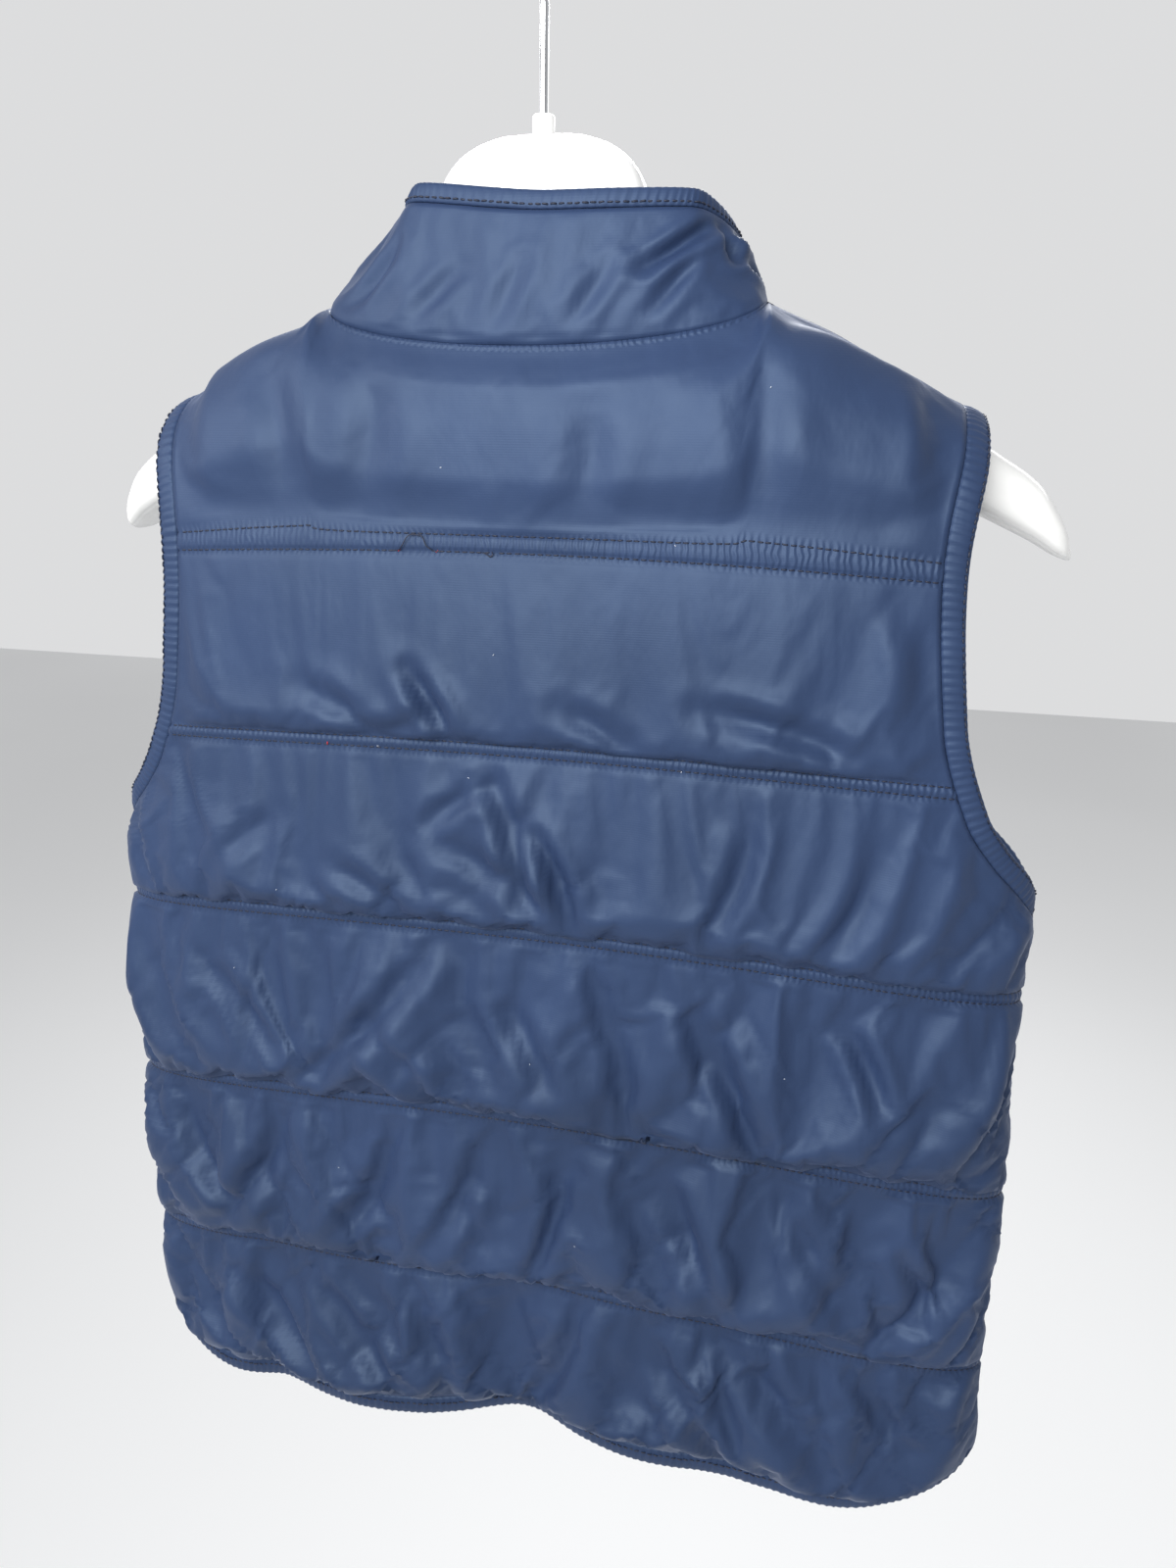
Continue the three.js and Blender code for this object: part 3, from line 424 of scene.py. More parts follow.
def path_length(points):
    """Distance along a line from its start to each of its points."""
    return np.concatenate([[0], np.cumsum(np.linalg.norm(np.diff(points, axis=0), axis=1))])


def read_line(at, length, line):
    """Points of a line at the given distances along it."""
    return np.stack([np.interp(at, length, line[:, k]) for k in range(3)], axis=1)


def body_normal(face, s, row):
    s, row = np.broadcast_arrays(np.asarray(s, float), np.asarray(row, float))
    turn = np.clip(turn_at(face, s, row), 0.03, math.pi / 2 - 0.04)
    over = row > QUILT_ROWS
    here = np.where(over, row, np.clip(row, 0.02, QUILT_ROWS - 0.02))
    across = place(face, s + 0.8, here, turn) - place(face, s - 0.8, here, turn)
    step = np.where(over, 0.0, 0.015)
    swing = np.where(over, 0.02, 0.0)
    rise = place(face, s, here + step, turn + swing) - place(face, s, here - step, turn - swing)
    return unit(np.cross(across, rise)) * (-1 if face == "back" else 1)


def crease_profile(off, width):
    """Depth across a crease: a trough with a low ridge along each side."""
    return np.exp(-((off / width) ** 2)) - 0.45 * np.exp(-(((np.abs(off) - 1.9 * width) / width) ** 2))


def crease_depth(face, s, row):
    """How far the creases press the cloth in, with a low ridge along each of their two sides."""
    creases = CREASES[face]
    depth = np.zeros_like(s)
    for a, r, b, q, width, deep in zip(*(creases[k] for k in ("s", "row", "to_s", "to_row", "width", "depth"))):
        run_x, run_z = b - a, (q - r) * QUILT_PITCH
        here_x, here_z = s - a, (row - r) * QUILT_PITCH
        length = math.hypot(run_x, run_z)
        t = clamp((here_x * run_x + here_z * run_z) / length**2)
        bow = 0.06 * length * np.sin(math.pi * t)
        off = (here_x * run_z - here_z * run_x) / length - bow
        beyond = np.hypot(here_x - t * run_x, here_z - t * run_z)
        off = np.where((t <= 0) | (t >= 1), beyond, off)
        fade = np.sqrt(np.sin(math.pi * np.clip(t, 0.04, 0.96)))
        depth += deep * fade * crease_profile(off, width * 0.62)
    return depth


def crumple(s, row, seed):
    """Small creases, sharp and slanting in the lower rows, and wide soft folds that run down in the upper ones."""
    z = row * QUILT_PITCH
    low = 1 - smooth((row - 2.2) / 1.8)
    slanting = s * 0.82 + z * 0.57
    down = z * 0.82 - s * 0.57
    leaning = s * 0.8 - z * 0.6
    first = noise(slanting, down, 17, 58, seed + 6)
    second = noise(leaning, z * 0.8 + s * 0.6, 21, 70, seed + 7)
    sharp = np.maximum(0, 1 - np.abs(first) / 0.2) + 0.8 * np.maximum(0, 1 - np.abs(second) / 0.18)
    soft = noise(slanting, down, 36, 30, seed + 5) * 1.5
    draped = noise(s, z, 24, 190, seed + 8) * 1.3
    return low * (2.3 * soft + 2.3 * first - 2.2 * sharp) + (1 - low) * (0.9 * draped - 0.2 * sharp)


def from_seam(row):
    return np.abs(row - np.round(row)) * QUILT_PITCH


def in_channel(row):
    """Whether a row lies between the twin rows of stitches of a seam."""
    return (row > 0.5) & (from_seam(row) <= CHANNEL_HALF + 0.01)


def thickness(face, s, row):
    """Thickness of the padded wall: full in the rows, thin at the seams and along the edges."""
    side = np.where(s < 0, -1.0, 1.0)
    baffle = np.minimum(np.floor(row + 1e-6), QUILT_ROWS)
    t = clamp(row - baffle)
    from_edge = edge_length(face, side, row) - np.abs(s)
    rise = smooth((from_edge - 1.5) / EDGE_RISE)
    if face == "front":
        rise = rise * smooth((np.abs(s) - FRONT_EDGE - EDGE_BAND) / ZIP_RISE)
    from_neck = np.hypot(np.abs(s) - NECK_HALF_WIDTH, (SHOULDER - row) * QUILT_PITCH)
    rise = rise * smooth(from_neck / NECK_RISE - 0.06)
    up = t * QUILT_PITCH - np.where(baffle > 0, CHANNEL_HALF, EDGE_BAND)
    down = (1 - t) * QUILT_PITCH - np.where(baffle < QUILT_ROWS, CHANNEL_HALF, 1.0)
    share = clamp(up / (up + down))
    puffed = np.sin(math.pi * share**0.85) ** 0.6
    shoulder = smooth(share * 4) * smooth((1 - share) * 3.5)
    puff = np.where(baffle < QUILT_ROWS, puffed, shoulder)
    open_part = np.where((up <= 0) | (down <= 0), 0.0, puff) * rise
    low = mix(0.45, 1, 1 - smooth((row - 3) / 2))
    gathers = (noise(s, row * QUILT_PITCH, 5.5, 26, 3) * 0.8 + noise(s, row * QUILT_PITCH, 11, 30, 4) * 0.9) * low
    sewn = np.where(in_channel(row), 0.35 - 0.95 * (from_seam(row) / CHANNEL_HALF) ** 2, 0)
    near_seam = np.exp(-np.minimum(np.abs(up), np.abs(down)) / 16) * open_part**0.5
    full = np.maximum(0.6, PADDING - crease_depth(face, s, row) + crumple(s, row, 0 if face == "back" else 40))
    return SEAM_THICKNESS + open_part * full + gathers * near_seam + sewn


# Grids


def panel_rows():
    channel = CHANNEL_HALF / QUILT_PITCH
    rows = []
    for baffle in range(QUILT_ROWS + 1):
        low = baffle + channel if baffle else (EDGE_BAND + SEAM_GAP) / QUILT_PITCH
        high = baffle + 1 - channel if baffle < QUILT_ROWS else baffle + 1
        height = QUILT_PITCH if baffle < QUILT_ROWS else 1.2 * QUILT_PITCH
        count = round((high - low) * height / CLOTH_STEP)
        rows += list(np.linspace(low, high, count + 1))
        if baffle < QUILT_ROWS:
            rows += [baffle + 1 - channel / 2, baffle + 1, baffle + 1 + channel / 2]
    return np.array(rows)


def half_shares(face, side, start):
    """Shares of the way from the start of a half panel to its edge, with one at the neck point."""
    top = float(edge_length(face, side, SHOULDER))
    neck = (NECK_HALF_WIDTH - start) / (top - start)
    inner = round((NECK_HALF_WIDTH - start) / CLOTH_STEP * 1.12)
    outer = round((top - NECK_HALF_WIDTH) / CLOTH_STEP * 1.2)
    i = np.arange(inner + 1) / inner
    near = neck * (0.6 * i + 0.4 * np.sin(i * math.pi / 2))
    return np.concatenate([near, mix(neck, 1, np.arange(1, outer + 1) / outer)])


def panel_grid(name):
    """Distance from the centre line and row of each point of a panel."""
    rows = panel_rows()
    if name == "back":
        right, left = half_shares("back", -1, 0), half_shares("back", 1, 0)
        s = np.concatenate(
            [-right[:0:-1] * edge_length("back", -1, rows)[:, None], left * edge_length("back", 1, rows)[:, None]],
            axis=1,
        )
    else:
        side = 1 if name == "front_left" else -1
        shares = half_shares("front", side, FRONT_EDGE)
        s = side * mix(FRONT_EDGE, edge_length("front", side, rows)[:, None], shares)
    return s, np.broadcast_to(rows[:, None], s.shape)


class Panel:
    """One padded panel: its grid, its inside, its normals and the outer cloth before it settles."""

    def __init__(self, name):
        self.name = name
        self.face = "back" if name == "back" else "front"
        self.s, self.row = panel_grid(name)
        self.inner = inside(self.face, self.s, self.row)
        self.normal = body_normal(self.face, self.s, self.row)
        self.outer = self.inner + self.normal * thickness(self.face, self.s, self.row)[..., None]
        held = in_channel(self.row)
        self.channel = np.where(held, 1.0, 0.0)
        held[:2] = held[-1:] = True
        held[:, :1] = held[:, -1:] = True
        if name != "back":
            held |= np.abs(self.s) < FRONT_EDGE + EDGE_BAND
        self.held = held
        self.share = np.interp(self.row, [2.4, 3.5, 4.5, 5.5], [1, 0.85, 0.6, 0.3])
        self.press = 0.5 * crease_depth(self.face, self.s, self.row)
        self.calm = smooth((self.row - 2) / 3.2)


# Collar

COLLAR_HEIGHT = 73.0
COLLAR_HALF_LENGTH = 202.0
COLLAR_GAP = 0.35
COLLAR_BEND = 0.32
COLLAR_LIFT = 0.6


def neckline_base():
    """Points of the neckline from the right front edge round the back to the left, on both faces of the cloth."""
    angles = np.linspace(0, math.pi / 2, 90)
    wide = NECK_HALF_WIDTH * np.sin(angles)
    first = math.asin(FRONT_EDGE / NECK_HALF_WIDTH)
    front = NECK_HALF_WIDTH * np.sin(np.linspace(first, math.pi / 2, 90))
    parts = [("front", -front), ("back", np.concatenate([-wide[:0:-1], wide])), ("front", front[::-1])]
    inner, outer = [], []
    for face, s in parts:
        low = inside(face, s, SHOULDER)
        inner.append(low)
        outer.append(low + body_normal(face, s, np.full_like(s, SHOULDER)) * SEAM_THICKNESS)
    inner, outer = np.concatenate(inner), np.concatenate(outer)
    length = path_length(inner)
    even = np.linspace(0, length[-1], round(length[-1] / CLOTH_STEP) + 1)
    return read_line(even, length, inner), read_line(even, length, outer), 2 * even / length[-1] - 1


def collar_sheet(shares):
    """Middle of the collar's cloth: rows at the shares of the way up, and its lower edges."""
    inner, outer, at = neckline_base()
    along = np.gradient(inner, axis=0)
    off = unit(np.cross(along, outer - inner))
    turned = off[:, 2] - off[:, 0] * inner[:, 0] / 100 < 0
    off[turned] *= -1
    start = (inner + outer) / 2 + off * 0.5
    end = np.stack([read(COLLAR_TOP, "at", "x", at), read(COLLAR_TOP, "at", "y", at),
                    NECK_TOP - read(COLLAR_TOP, "at", "drop", at)], axis=1)
    reach = np.linalg.norm(end - start, axis=1, keepdims=True)
    lean = unit(end - start)
    rise = unit(off + lean + np.array([0, 0, COLLAR_LIFT]))
    a, b = start + rise * reach * COLLAR_BEND, end - lean * reach * COLLAR_BEND
    v = np.asarray(shares)[:, None, None]
    sheet = (1 - v) ** 3 * start + 3 * v * (1 - v) ** 2 * a + 3 * v * v * (1 - v) * b + v**3 * end
    return sheet, inner + off * COLLAR_GAP, outer + off * COLLAR_GAP, at


def sheet_normal(sheet):
    """Outward normals of a grid whose rows go up and whose columns go from the wearer's right to left."""
    return -unit(np.cross(np.gradient(sheet, axis=1), np.gradient(sheet, axis=0)))


COLLAR_SEAM = 0.863
COLLAR_PADDING = 6.0
# Creases of the collar: two ends, each as place round it and share of its height, half width and depth
COLLAR_CREASES = table("""
at    up   to_at to_up width depth
-0.18 0.48 -0.33 0.84  0.04  4.2
-0.33 0.84 -0.37 0.5   0.035 4.0
-0.34 0.83 -0.5  0.66  0.04  3.4
-0.4  0.5  -0.5  0.2   0.035 2.2
-0.2  0.1  -0.27 0.55  0.035 2.0
-0.08 0.08 -0.12 0.5   0.035 1.5
0.05  0.1  0.02  0.55  0.035 1.4
0.2   0.1  0.12  0.5   0.035 1.5
0.34  0.12 0.26  0.6   0.035 2.0
0.5   0.2  0.4   0.75  0.04  2.0
0.7   0.2  0.62  0.8   0.04  2.0
-0.7  0.2  -0.6  0.8   0.04  2.0
""")


def collar_crease(at, up):
    """How far the creases press the collar's cloth in."""
    depth = np.zeros(np.broadcast(at, up).shape)
    c = COLLAR_CREASES
    for a, u, b, w, width, deep in zip(c["at"], c["up"], c["to_at"], c["to_up"], c["width"], c["depth"]):
        run = np.array([b - a, (w - u) * 0.36])
        here_a, here_u = at - a, (up - u) * 0.36
        length = np.hypot(*run)
        t = clamp((here_a * run[0] + here_u * run[1]) / length**2)
        off = np.hypot(here_a - t * run[0], here_u - t * run[1])
        fade = np.sqrt(np.sin(math.pi * np.clip(t, 0.05, 0.95)))
        depth += deep * fade * crease_profile(off, width * 0.5)
    return depth


class Collar:
    """The padded stand of the collar, up to the seam of its binding."""

    def __init__(self):
        shares = np.linspace(0, COLLAR_SEAM, round(COLLAR_HEIGHT * COLLAR_SEAM / CLOTH_STEP) + 1)
        sheet, base_inner, base_outer, at = collar_sheet(shares)
        self.normal = sheet_normal(sheet)
        up = shares[:, None]
        puff = np.sin(math.pi * clamp((up - 0.03) / 0.83)) ** 0.7 * smooth((1 - np.abs(at)) * 14 - 0.8)
        across = at * COLLAR_HALF_LENGTH
        high = up * COLLAR_HEIGHT
        gathers = noise(across, high, 4.5, 30, 11) * 0.7 + noise(across, high, 9, 30, 12) * 0.6
        near_seam = np.exp(-np.minimum(up, COLLAR_SEAM - up) * COLLAR_HEIGHT / 12) * puff**0.5
        full = SEAM_THICKNESS + (COLLAR_PADDING - SEAM_THICKNESS) * puff
        swell = full / 2 - puff * collar_crease(at, up) + gathers * near_seam
        self.outer = sheet + self.normal * swell[..., None]
        self.inner = sheet - self.normal * (full / 2)[..., None]
        self.outer[0], self.inner[0] = base_outer, base_inner
        self.channel = np.zeros(swell.shape)
        self.s = np.broadcast_to(across, swell.shape)
        held = np.zeros(swell.shape, bool)
        held[:1] = held[-2:] = True
        held[:, :3] = held[:, -3:] = True
        self.held = held
        self.name = "collar"
        self.share = np.full(swell.shape, 0.6)
        self.calm = np.full(swell.shape, 0.5)
        self.press = 0.3 * puff * collar_crease(at, up)


# Meshes


def new_mesh(name, points, faces, smooth_shading=True):
    """A mesh object in metres from points in millimetres."""
    mesh = bpy.data.meshes.new(name)
    mesh.from_pydata((np.asarray(points) * MM).tolist(), [], faces)
    mesh.validate()
    mesh.update()
    made = bpy.data.objects.new(name, mesh)
    bpy.context.scene.collection.objects.link(made)
    if smooth_shading:
        mesh.polygons.foreach_set("use_smooth", [True] * len(mesh.polygons))
    return made


def grid_faces(rows, columns, shift=0, flip=False):
    i, j = np.meshgrid(np.arange(rows - 1), np.arange(columns - 1), indexing="ij")
    a = (i * columns + j + shift).ravel()
    quads = np.stack([a, a + 1, a + 1 + columns, a + columns], axis=1)
    return quads[:, ::-1] if flip else quads


def faces_out(points, quads):
    """The quads, turned round if they enclose a negative volume."""
    p = points[quads]
    volume = np.einsum("ij,ij->i", p[:, 0], np.cross(p[:, 1], p[:, 2])).sum()
    volume += np.einsum("ij,ij->i", p[:, 0], np.cross(p[:, 2], p[:, 3])).sum()
    return quads[:, ::-1] if volume < 0 else quads


def closed_wall(inner, outer):
    """Points and quads of a closed wall between two grids."""
    rows, columns = inner.shape[:2]
    points = np.concatenate([inner.reshape(-1, 3), outer.reshape(-1, 3)])
    shift = rows * columns
    rim = [(0, j) for j in range(columns - 1)] + [(i, columns - 1) for i in range(rows - 1)]
    rim += [(rows - 1, j) for j in range(columns - 1, 0, -1)] + [(i, 0) for i in range(rows - 1, 0, -1)]
    a = np.array([i * columns + j for i, j in rim])
    b = np.roll(a, -1)
    quads = np.concatenate([
        grid_faces(rows, columns),
        grid_faces(rows, columns, shift, flip=True),
        np.stack([a, a + shift, b + shift, b], axis=1),
    ])
    return points, faces_out(points, quads)


def sweep(sections, ring=False):
    """Points and quads of a tube through sections, closed on itself as a ring or open at its ends."""
    count = sections.shape[1]
    spans = len(sections) if ring else len(sections) - 1
    i, j = np.meshgrid(np.arange(spans), np.arange(count), indexing="ij")
    here, there = i * count, (i + 1) % len(sections) * count
    k = (j + 1) % count
    quads = np.stack([here + j, here + k, there + k, there + j], axis=-1).reshape(-1, 4)
    points = sections.reshape(-1, 3)
    return points, faces_out(points, quads)


def equal_tubes(count, rings, sides):
    """Faces of many equal tubes, each of rings of points with a cap at both ends."""
    faces = [[i * sides + j, i * sides + (j + 1) % sides, (i + 1) * sides + (j + 1) % sides, (i + 1) * sides + j]
             for i in range(rings - 1) for j in range(sides)]
    caps = [list(range(sides))[::-1], [(rings - 1) * sides + j for j in range(sides)]]
    shift = (np.arange(count) * rings * sides)[:, None, None]
    return [face for kind in (faces, caps) for face in (np.array(kind) + shift).reshape(-1, len(kind[0])).tolist()]


def set_attribute(made, name, values):
    made.data.attributes.new(name, "FLOAT", "POINT").data.foreach_set("value", np.asarray(values, np.float32).ravel())


# Settling the outer cloth

SETTLE_FRAMES = 22


def add_cloth(piece, growth, pressure, gravity, bending):
    """The outer grid of a piece as a mesh with cloth on it, held along its seams and edges."""
    rows, columns = piece.outer.shape[:2]
    quads = grid_faces(rows, columns)
    p = piece.outer.reshape(-1, 3)
    first = p[quads]
    facing = np.einsum("ij,ij->", np.cross(first[:, 1] - first[:, 0], first[:, 3] - first[:, 0]),
                       piece.normal[:-1, :-1].reshape(-1, 3))
    if facing < 0:
        quads = quads[:, ::-1]
    made = new_mesh("settling_" + piece.name, p, quads.tolist())
    group = made.vertex_groups.new(name="held")
    group.add(np.nonzero(piece.held.ravel())[0].tolist(), 1.0, "REPLACE")
    cloth = made.modifiers.new("cloth", "CLOTH")
    settings = cloth.settings
    settings.quality = 7
    settings.mass = 0.12
    settings.air_damping = 3
    settings.tension_stiffness = 25
    settings.compression_stiffness = 25
    settings.shear_stiffness = 8
    settings.bending_stiffness = bending
    settings.bending_damping = 0.6
    settings.tension_damping = settings.compression_damping = settings.shear_damping = 8
    settings.vertex_group_mass = "held"
    settings.pin_stiffness = 1.0
    calm = made.vertex_groups.new(name="calm")
    for step in range(11):
        chosen = np.nonzero(np.round(piece.calm.ravel() * 10) == step)[0]
        if len(chosen):
            calm.add(chosen.tolist(), step / 10, "REPLACE")
    settings.vertex_group_shrink = "calm"
    settings.shrink_max = -0.015
    settings.shrink_min = -growth
    settings.use_pressure = True
    settings.uniform_pressure_force = pressure
    settings.effector_weights.gravity = gravity
    cloth.collision_settings.use_collision = False
    cloth.collision_settings.use_self_collision = False
    cloth.point_cache.frame_start = 1
    cloth.point_cache.frame_end = SETTLE_FRAMES
    return made


def settle(pieces):
    """Runs the cloth of all the pieces together and keeps its result in their outer grids."""
    made = [add_cloth(piece, *piece.cloth) for piece in pieces]
    scene = bpy.context.scene
    scene.frame_start, scene.frame_end = 1, SETTLE_FRAMES
    for step in range(1, SETTLE_FRAMES + 1):
        scene.frame_set(step)
    graph = bpy.context.evaluated_depsgraph_get()
    for piece, cloth in zip(pieces, made):
        mesh = cloth.evaluated_get(graph).data
        flat = np.empty(len(mesh.vertices) * 3)
        mesh.vertices.foreach_get("co", flat)
        settled = flat.reshape(piece.outer.shape) / MM
        move = settled - piece.outer
        size = np.linalg.norm(move, axis=-1, keepdims=True)
        kept = piece.share[..., None] * np.minimum(1, piece.cap / np.maximum(size, 1e-6))
        piece.outer = piece.outer + move * kept
    for cloth in made:
        bpy.data.objects.remove(cloth)
    scene.frame_set(1)


def keep_off_inside(piece):
    """Presses the creases in, and keeps the outer cloth at least a little outside the inner face."""
    loose = np.where(piece.held, 0, 1) * piece.press
    piece.outer = piece.outer - piece.normal * loose[..., None]
    height = np.einsum("ijk,ijk->ij", piece.outer - piece.inner, piece.normal)
    lift = np.maximum(0, 1.2 - height)
    piece.outer = piece.outer + piece.normal * lift[..., None]


# Materials


def new_material(name):
    material = bpy.data.materials.new(name)
    material.use_nodes = True
    return material, material.node_tree.nodes, material.node_tree.links


def bump_after(nodes, links, height, strength, distance, before=None):
    bump = nodes.new("ShaderNodeBump")
    bump.inputs["Strength"].default_value = strength
    bump.inputs["Distance"].default_value = distance
    links.new(height, bump.inputs["Height"])
    if before:
        links.new(before.outputs["Normal"], bump.inputs["Normal"])
    return bump


def noise_node(nodes, links, vector, scale, detail=2.0, stretch=None):
    node = nodes.new("ShaderNodeTexNoise")
    node.inputs["Scale"].default_value = scale
    node.inputs["Detail"].default_value = detail
    source = vector
    if stretch:
        mapping = nodes.new("ShaderNodeMapping")
        mapping.inputs["Scale"].default_value = stretch[0]
        mapping.inputs["Rotation"].default_value = stretch[1]
        links.new(vector, mapping.inputs["Vector"])
        source = mapping.outputs["Vector"]
    links.new(source, node.inputs["Vector"])
    return node


def ramp(nodes, links, value, stops):
    node = nodes.new("ShaderNodeValToRGB")
    elements = node.color_ramp.elements
    while len(elements) < len(stops):
        elements.new(0.5)
    for element, (position, colour) in zip(elements, stops):
        element.position = position
        element.color = colour
    links.new(value, node.inputs["Fac"])
    return node


def math_node(nodes, links, operation, *values):
    """A sum on other nodes' outputs and plain numbers."""
    node = nodes.new("ShaderNodeMath")
    node.operation = operation
    for socket, value in zip(node.inputs, values):
        if isinstance(value, float):
            socket.default_value = value
        else:
            links.new(value, socket)
    return node.outputs[0]


def attribute_node(nodes, name):
    node = nodes.new("ShaderNodeAttribute")
    node.attribute_name = name
    return node.outputs["Fac"]


RIB_PITCH = 2.7
RIB_DRIFT = 3.2


def nylon():
    """Navy taffeta: a satin sheen, a fine plain weave, small crinkles, and ribs between the twin rows of stitches."""
    material, nodes, links = new_material("navy_nylon")
    shader = nodes["Principled BSDF"]
    where = nodes.new("ShaderNodeTexCoord").outputs["Object"]
    cloudy = noise_node(nodes, links, where, 9, 3)
    colour = ramp(nodes, links, cloudy.outputs["Fac"], [
        (0.3, (0.0165, 0.030, 0.073, 1)),
        (0.7, (0.0225, 0.040, 0.096, 1)),
    ])
    links.new(colour.outputs["Color"], shader.inputs["Base Color"])
    shader.inputs["Sheen Weight"].default_value = 0.08
    shader.inputs["Sheen Roughness"].default_value = 0.4
    shader.inputs["Sheen Tint"].default_value = (0.5, 0.62, 1, 1)
    shader.inputs["Specular IOR Level"].default_value = 0.42
    shader.inputs["Specular Tint"].default_value = (0.6, 0.78, 1, 1)
    rough = noise_node(nodes, links, where, 60, 2)
    roughness = nodes.new("ShaderNodeMapRange")
    roughness.inputs["To Min"].default_value = 0.47
    roughness.inputs["To Max"].default_value = 0.58
    links.new(rough.outputs["Fac"], roughness.inputs["Value"])
    links.new(roughness.outputs["Result"], shader.inputs["Roughness"])
    crinkle = noise_node(nodes, links, where, 55, 3, ((1, 1, 0.55), (0, 0.6, 0)))
    fine = noise_node(nodes, links, where, 170, 2, ((1, 1, 0.5), (0, -0.4, 0)))
    weave = nodes.new("ShaderNodeTexWave")
    weave.wave_type = "BANDS"
    weave.bands_direction = "Z"
    weave.inputs["Scale"].default_value = 330
    weave.inputs["Distortion"].default_value = 0.6
    links.new(where, weave.inputs["Vector"])
    first = bump_after(nodes, links, crinkle.outputs["Fac"], 0.5, 0.0016)
    second = bump_after(nodes, links, fine.outputs["Fac"], 0.3, 0.0005, first)
    third = bump_after(nodes, links, weave.outputs["Color"], 0.12, 0.0001, second)
    uneven = noise_node(nodes, links, where, 160, 1)
    along = math_node(nodes, links, "MULTIPLY_ADD", uneven.outputs["Fac"], RIB_DRIFT, attribute_node(nodes, "along"))
    rib = math_node(nodes, links, "SINE", math_node(nodes, links, "MULTIPLY", along, 2 * math.pi / RIB_PITCH))
    ribs = math_node(nodes, links, "MULTIPLY", rib, attribute_node(nodes, "channel"))
    last = bump_after(nodes, links, ribs, 0.4, 0.0004, third)
    links.new(last.outputs["Normal"], shader.inputs["Normal"])
    return material


def plain_material(name, colour, roughness, metallic=0.0, grain=120, bump=0.05, coat=0.0):
    """A material with a little variation of colour and a fine grain."""
    material, nodes, links = new_material(name)
    shader = nodes["Principled BSDF"]
    where = nodes.new("ShaderNodeTexCoord").outputs["Object"]
    cloudy = noise_node(nodes, links, where, grain / 6, 2)
    dark = tuple(c * 0.93 for c in colour) + (1,)
    light = tuple(min(1, c * 1.04) for c in colour) + (1,)
    shade = ramp(nodes, links, cloudy.outputs["Fac"], [(0.3, dark), (0.7, light)])
    links.new(shade.outputs["Color"], shader.inputs["Base Color"])
    shader.inputs["Metallic"].default_value = metallic
    shader.inputs["Roughness"].default_value = roughness
    shader.inputs["Coat Weight"].default_value = coat
    grained = noise_node(nodes, links, where, grain, 2)
    links.new(bump_after(nodes, links, grained.outputs["Fac"], bump, 0.0004).outputs["Normal"], shader.inputs["Normal"])
    return material


NYLON = nylon()
THREAD = plain_material("navy_thread", (0.008, 0.012, 0.03), 0.55, grain=900, bump=0.3)
TAPE = plain_material("zip_tape", (0.014, 0.021, 0.055), 0.8, grain=700, bump=0.5)
ZIP_METAL = plain_material("dark_enamel", (0.028, 0.035, 0.065), 0.32, grain=200, bump=0.03, coat=0.4)
PLASTIC = plain_material("white_plastic", (0.86, 0.86, 0.845), 0.24, grain=40, bump=0.02, coat=0.5)
RED_THREAD = plain_material("red_thread", (0.5, 0.02, 0.03), 0.6, grain=900, bump=0.2)
LINT = plain_material("pale_lint", (0.55, 0.58, 0.66), 0.9, grain=900, bump=0.2)
CHROME = plain_material("bright_wire", (0.7, 0.71, 0.73), 0.16, metallic=1.0, grain=90, bump=0.02)


def finish_piece(made, material, slot, *nodes, body="garment"):
    made.data.materials.clear()
    made.data.materials.append(material)
    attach(made, body)
    if nodes:
        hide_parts(*nodes)
    return made


# Panels and collar

PANELS = {name: Panel(name) for name in ("back", "front_left", "front_right")}
COLLAR = Collar()
PADDED = list(PANELS.values()) + [COLLAR]
# Growth, pressure, gravity and bending stiffness of the cloth, and the farthest that it may settle
for padded in PADDED:
    padded.cloth = (0.085, 2.0, 0.4, 0.12)
    padded.cap = 8.0
COLLAR.cloth = (0.03, 0.8, 0.2, 0.15)
COLLAR.cap = 3.0
settle(PADDED)
for padded in PADDED:
    keep_off_inside(padded)

for padded in PADDED:
    points, quads = closed_wall(padded.inner, padded.outer)
    made = new_mesh("cloth_" + padded.name, points, quads.tolist())
    set_attribute(made, "along", np.concatenate([padded.s.ravel(), padded.s.ravel()]))
    set_attribute(made, "channel", np.concatenate([0 * padded.channel.ravel(), padded.channel.ravel()]))
    finish_piece(made, NYLON, "shell", padded.name)


# Bindings

# Section of a folded strip: distance in from the edge, and height over the inner face
PROFILE = np.array([
    (0.3, 0.0), (3.0, -0.1), (6.0, -0.15), (8.6, 0.0), (9.7, 0.5), (10.1, 1.5),
    (9.7, 2.5), (8.6, 3.0), (6.0, 3.35), (3.5, 3.3), (1.8, 2.9), (0.3, 2.5),
])
BINDING_STITCH = 7
HEM_STITCH = 9
# Lines of stitches along the bindings: points and normals
BINDING_LINES = []


def gathered(profile_up, along, seed):
    """Height of a binding's face: the profile, drawn up into small ribs across the strip."""
    outer = smooth((profile_up - 1.2) / 1.2)
    rib = 0.34 * np.sin(2 * math.pi * along / 3.6 + 1.6 * noise(along, 0 * along, 9, 9, seed))
    slow = 0.5 * noise(along, 0 * along, 13, 9, seed + 1)
    return profile_up + outer * (rib + slow)


def armhole_path(side):
    rows = np.concatenate([np.linspace(UNDERARM, 3.9, 60), np.linspace(3.9, SHOULDER, 160)[1:]])
    legs = []
    for face, sign in (("back", 1), ("front", -1)):
        from_side = half_length(face, side, rows) - edge_length(face, side, rows)
        legs.append(np.stack([sign * from_side, rows * QUILT_PITCH], axis=1))
    path = np.concatenate([legs[0], legs[1][-2:0:-1]])
    return path, len(rows) - 1


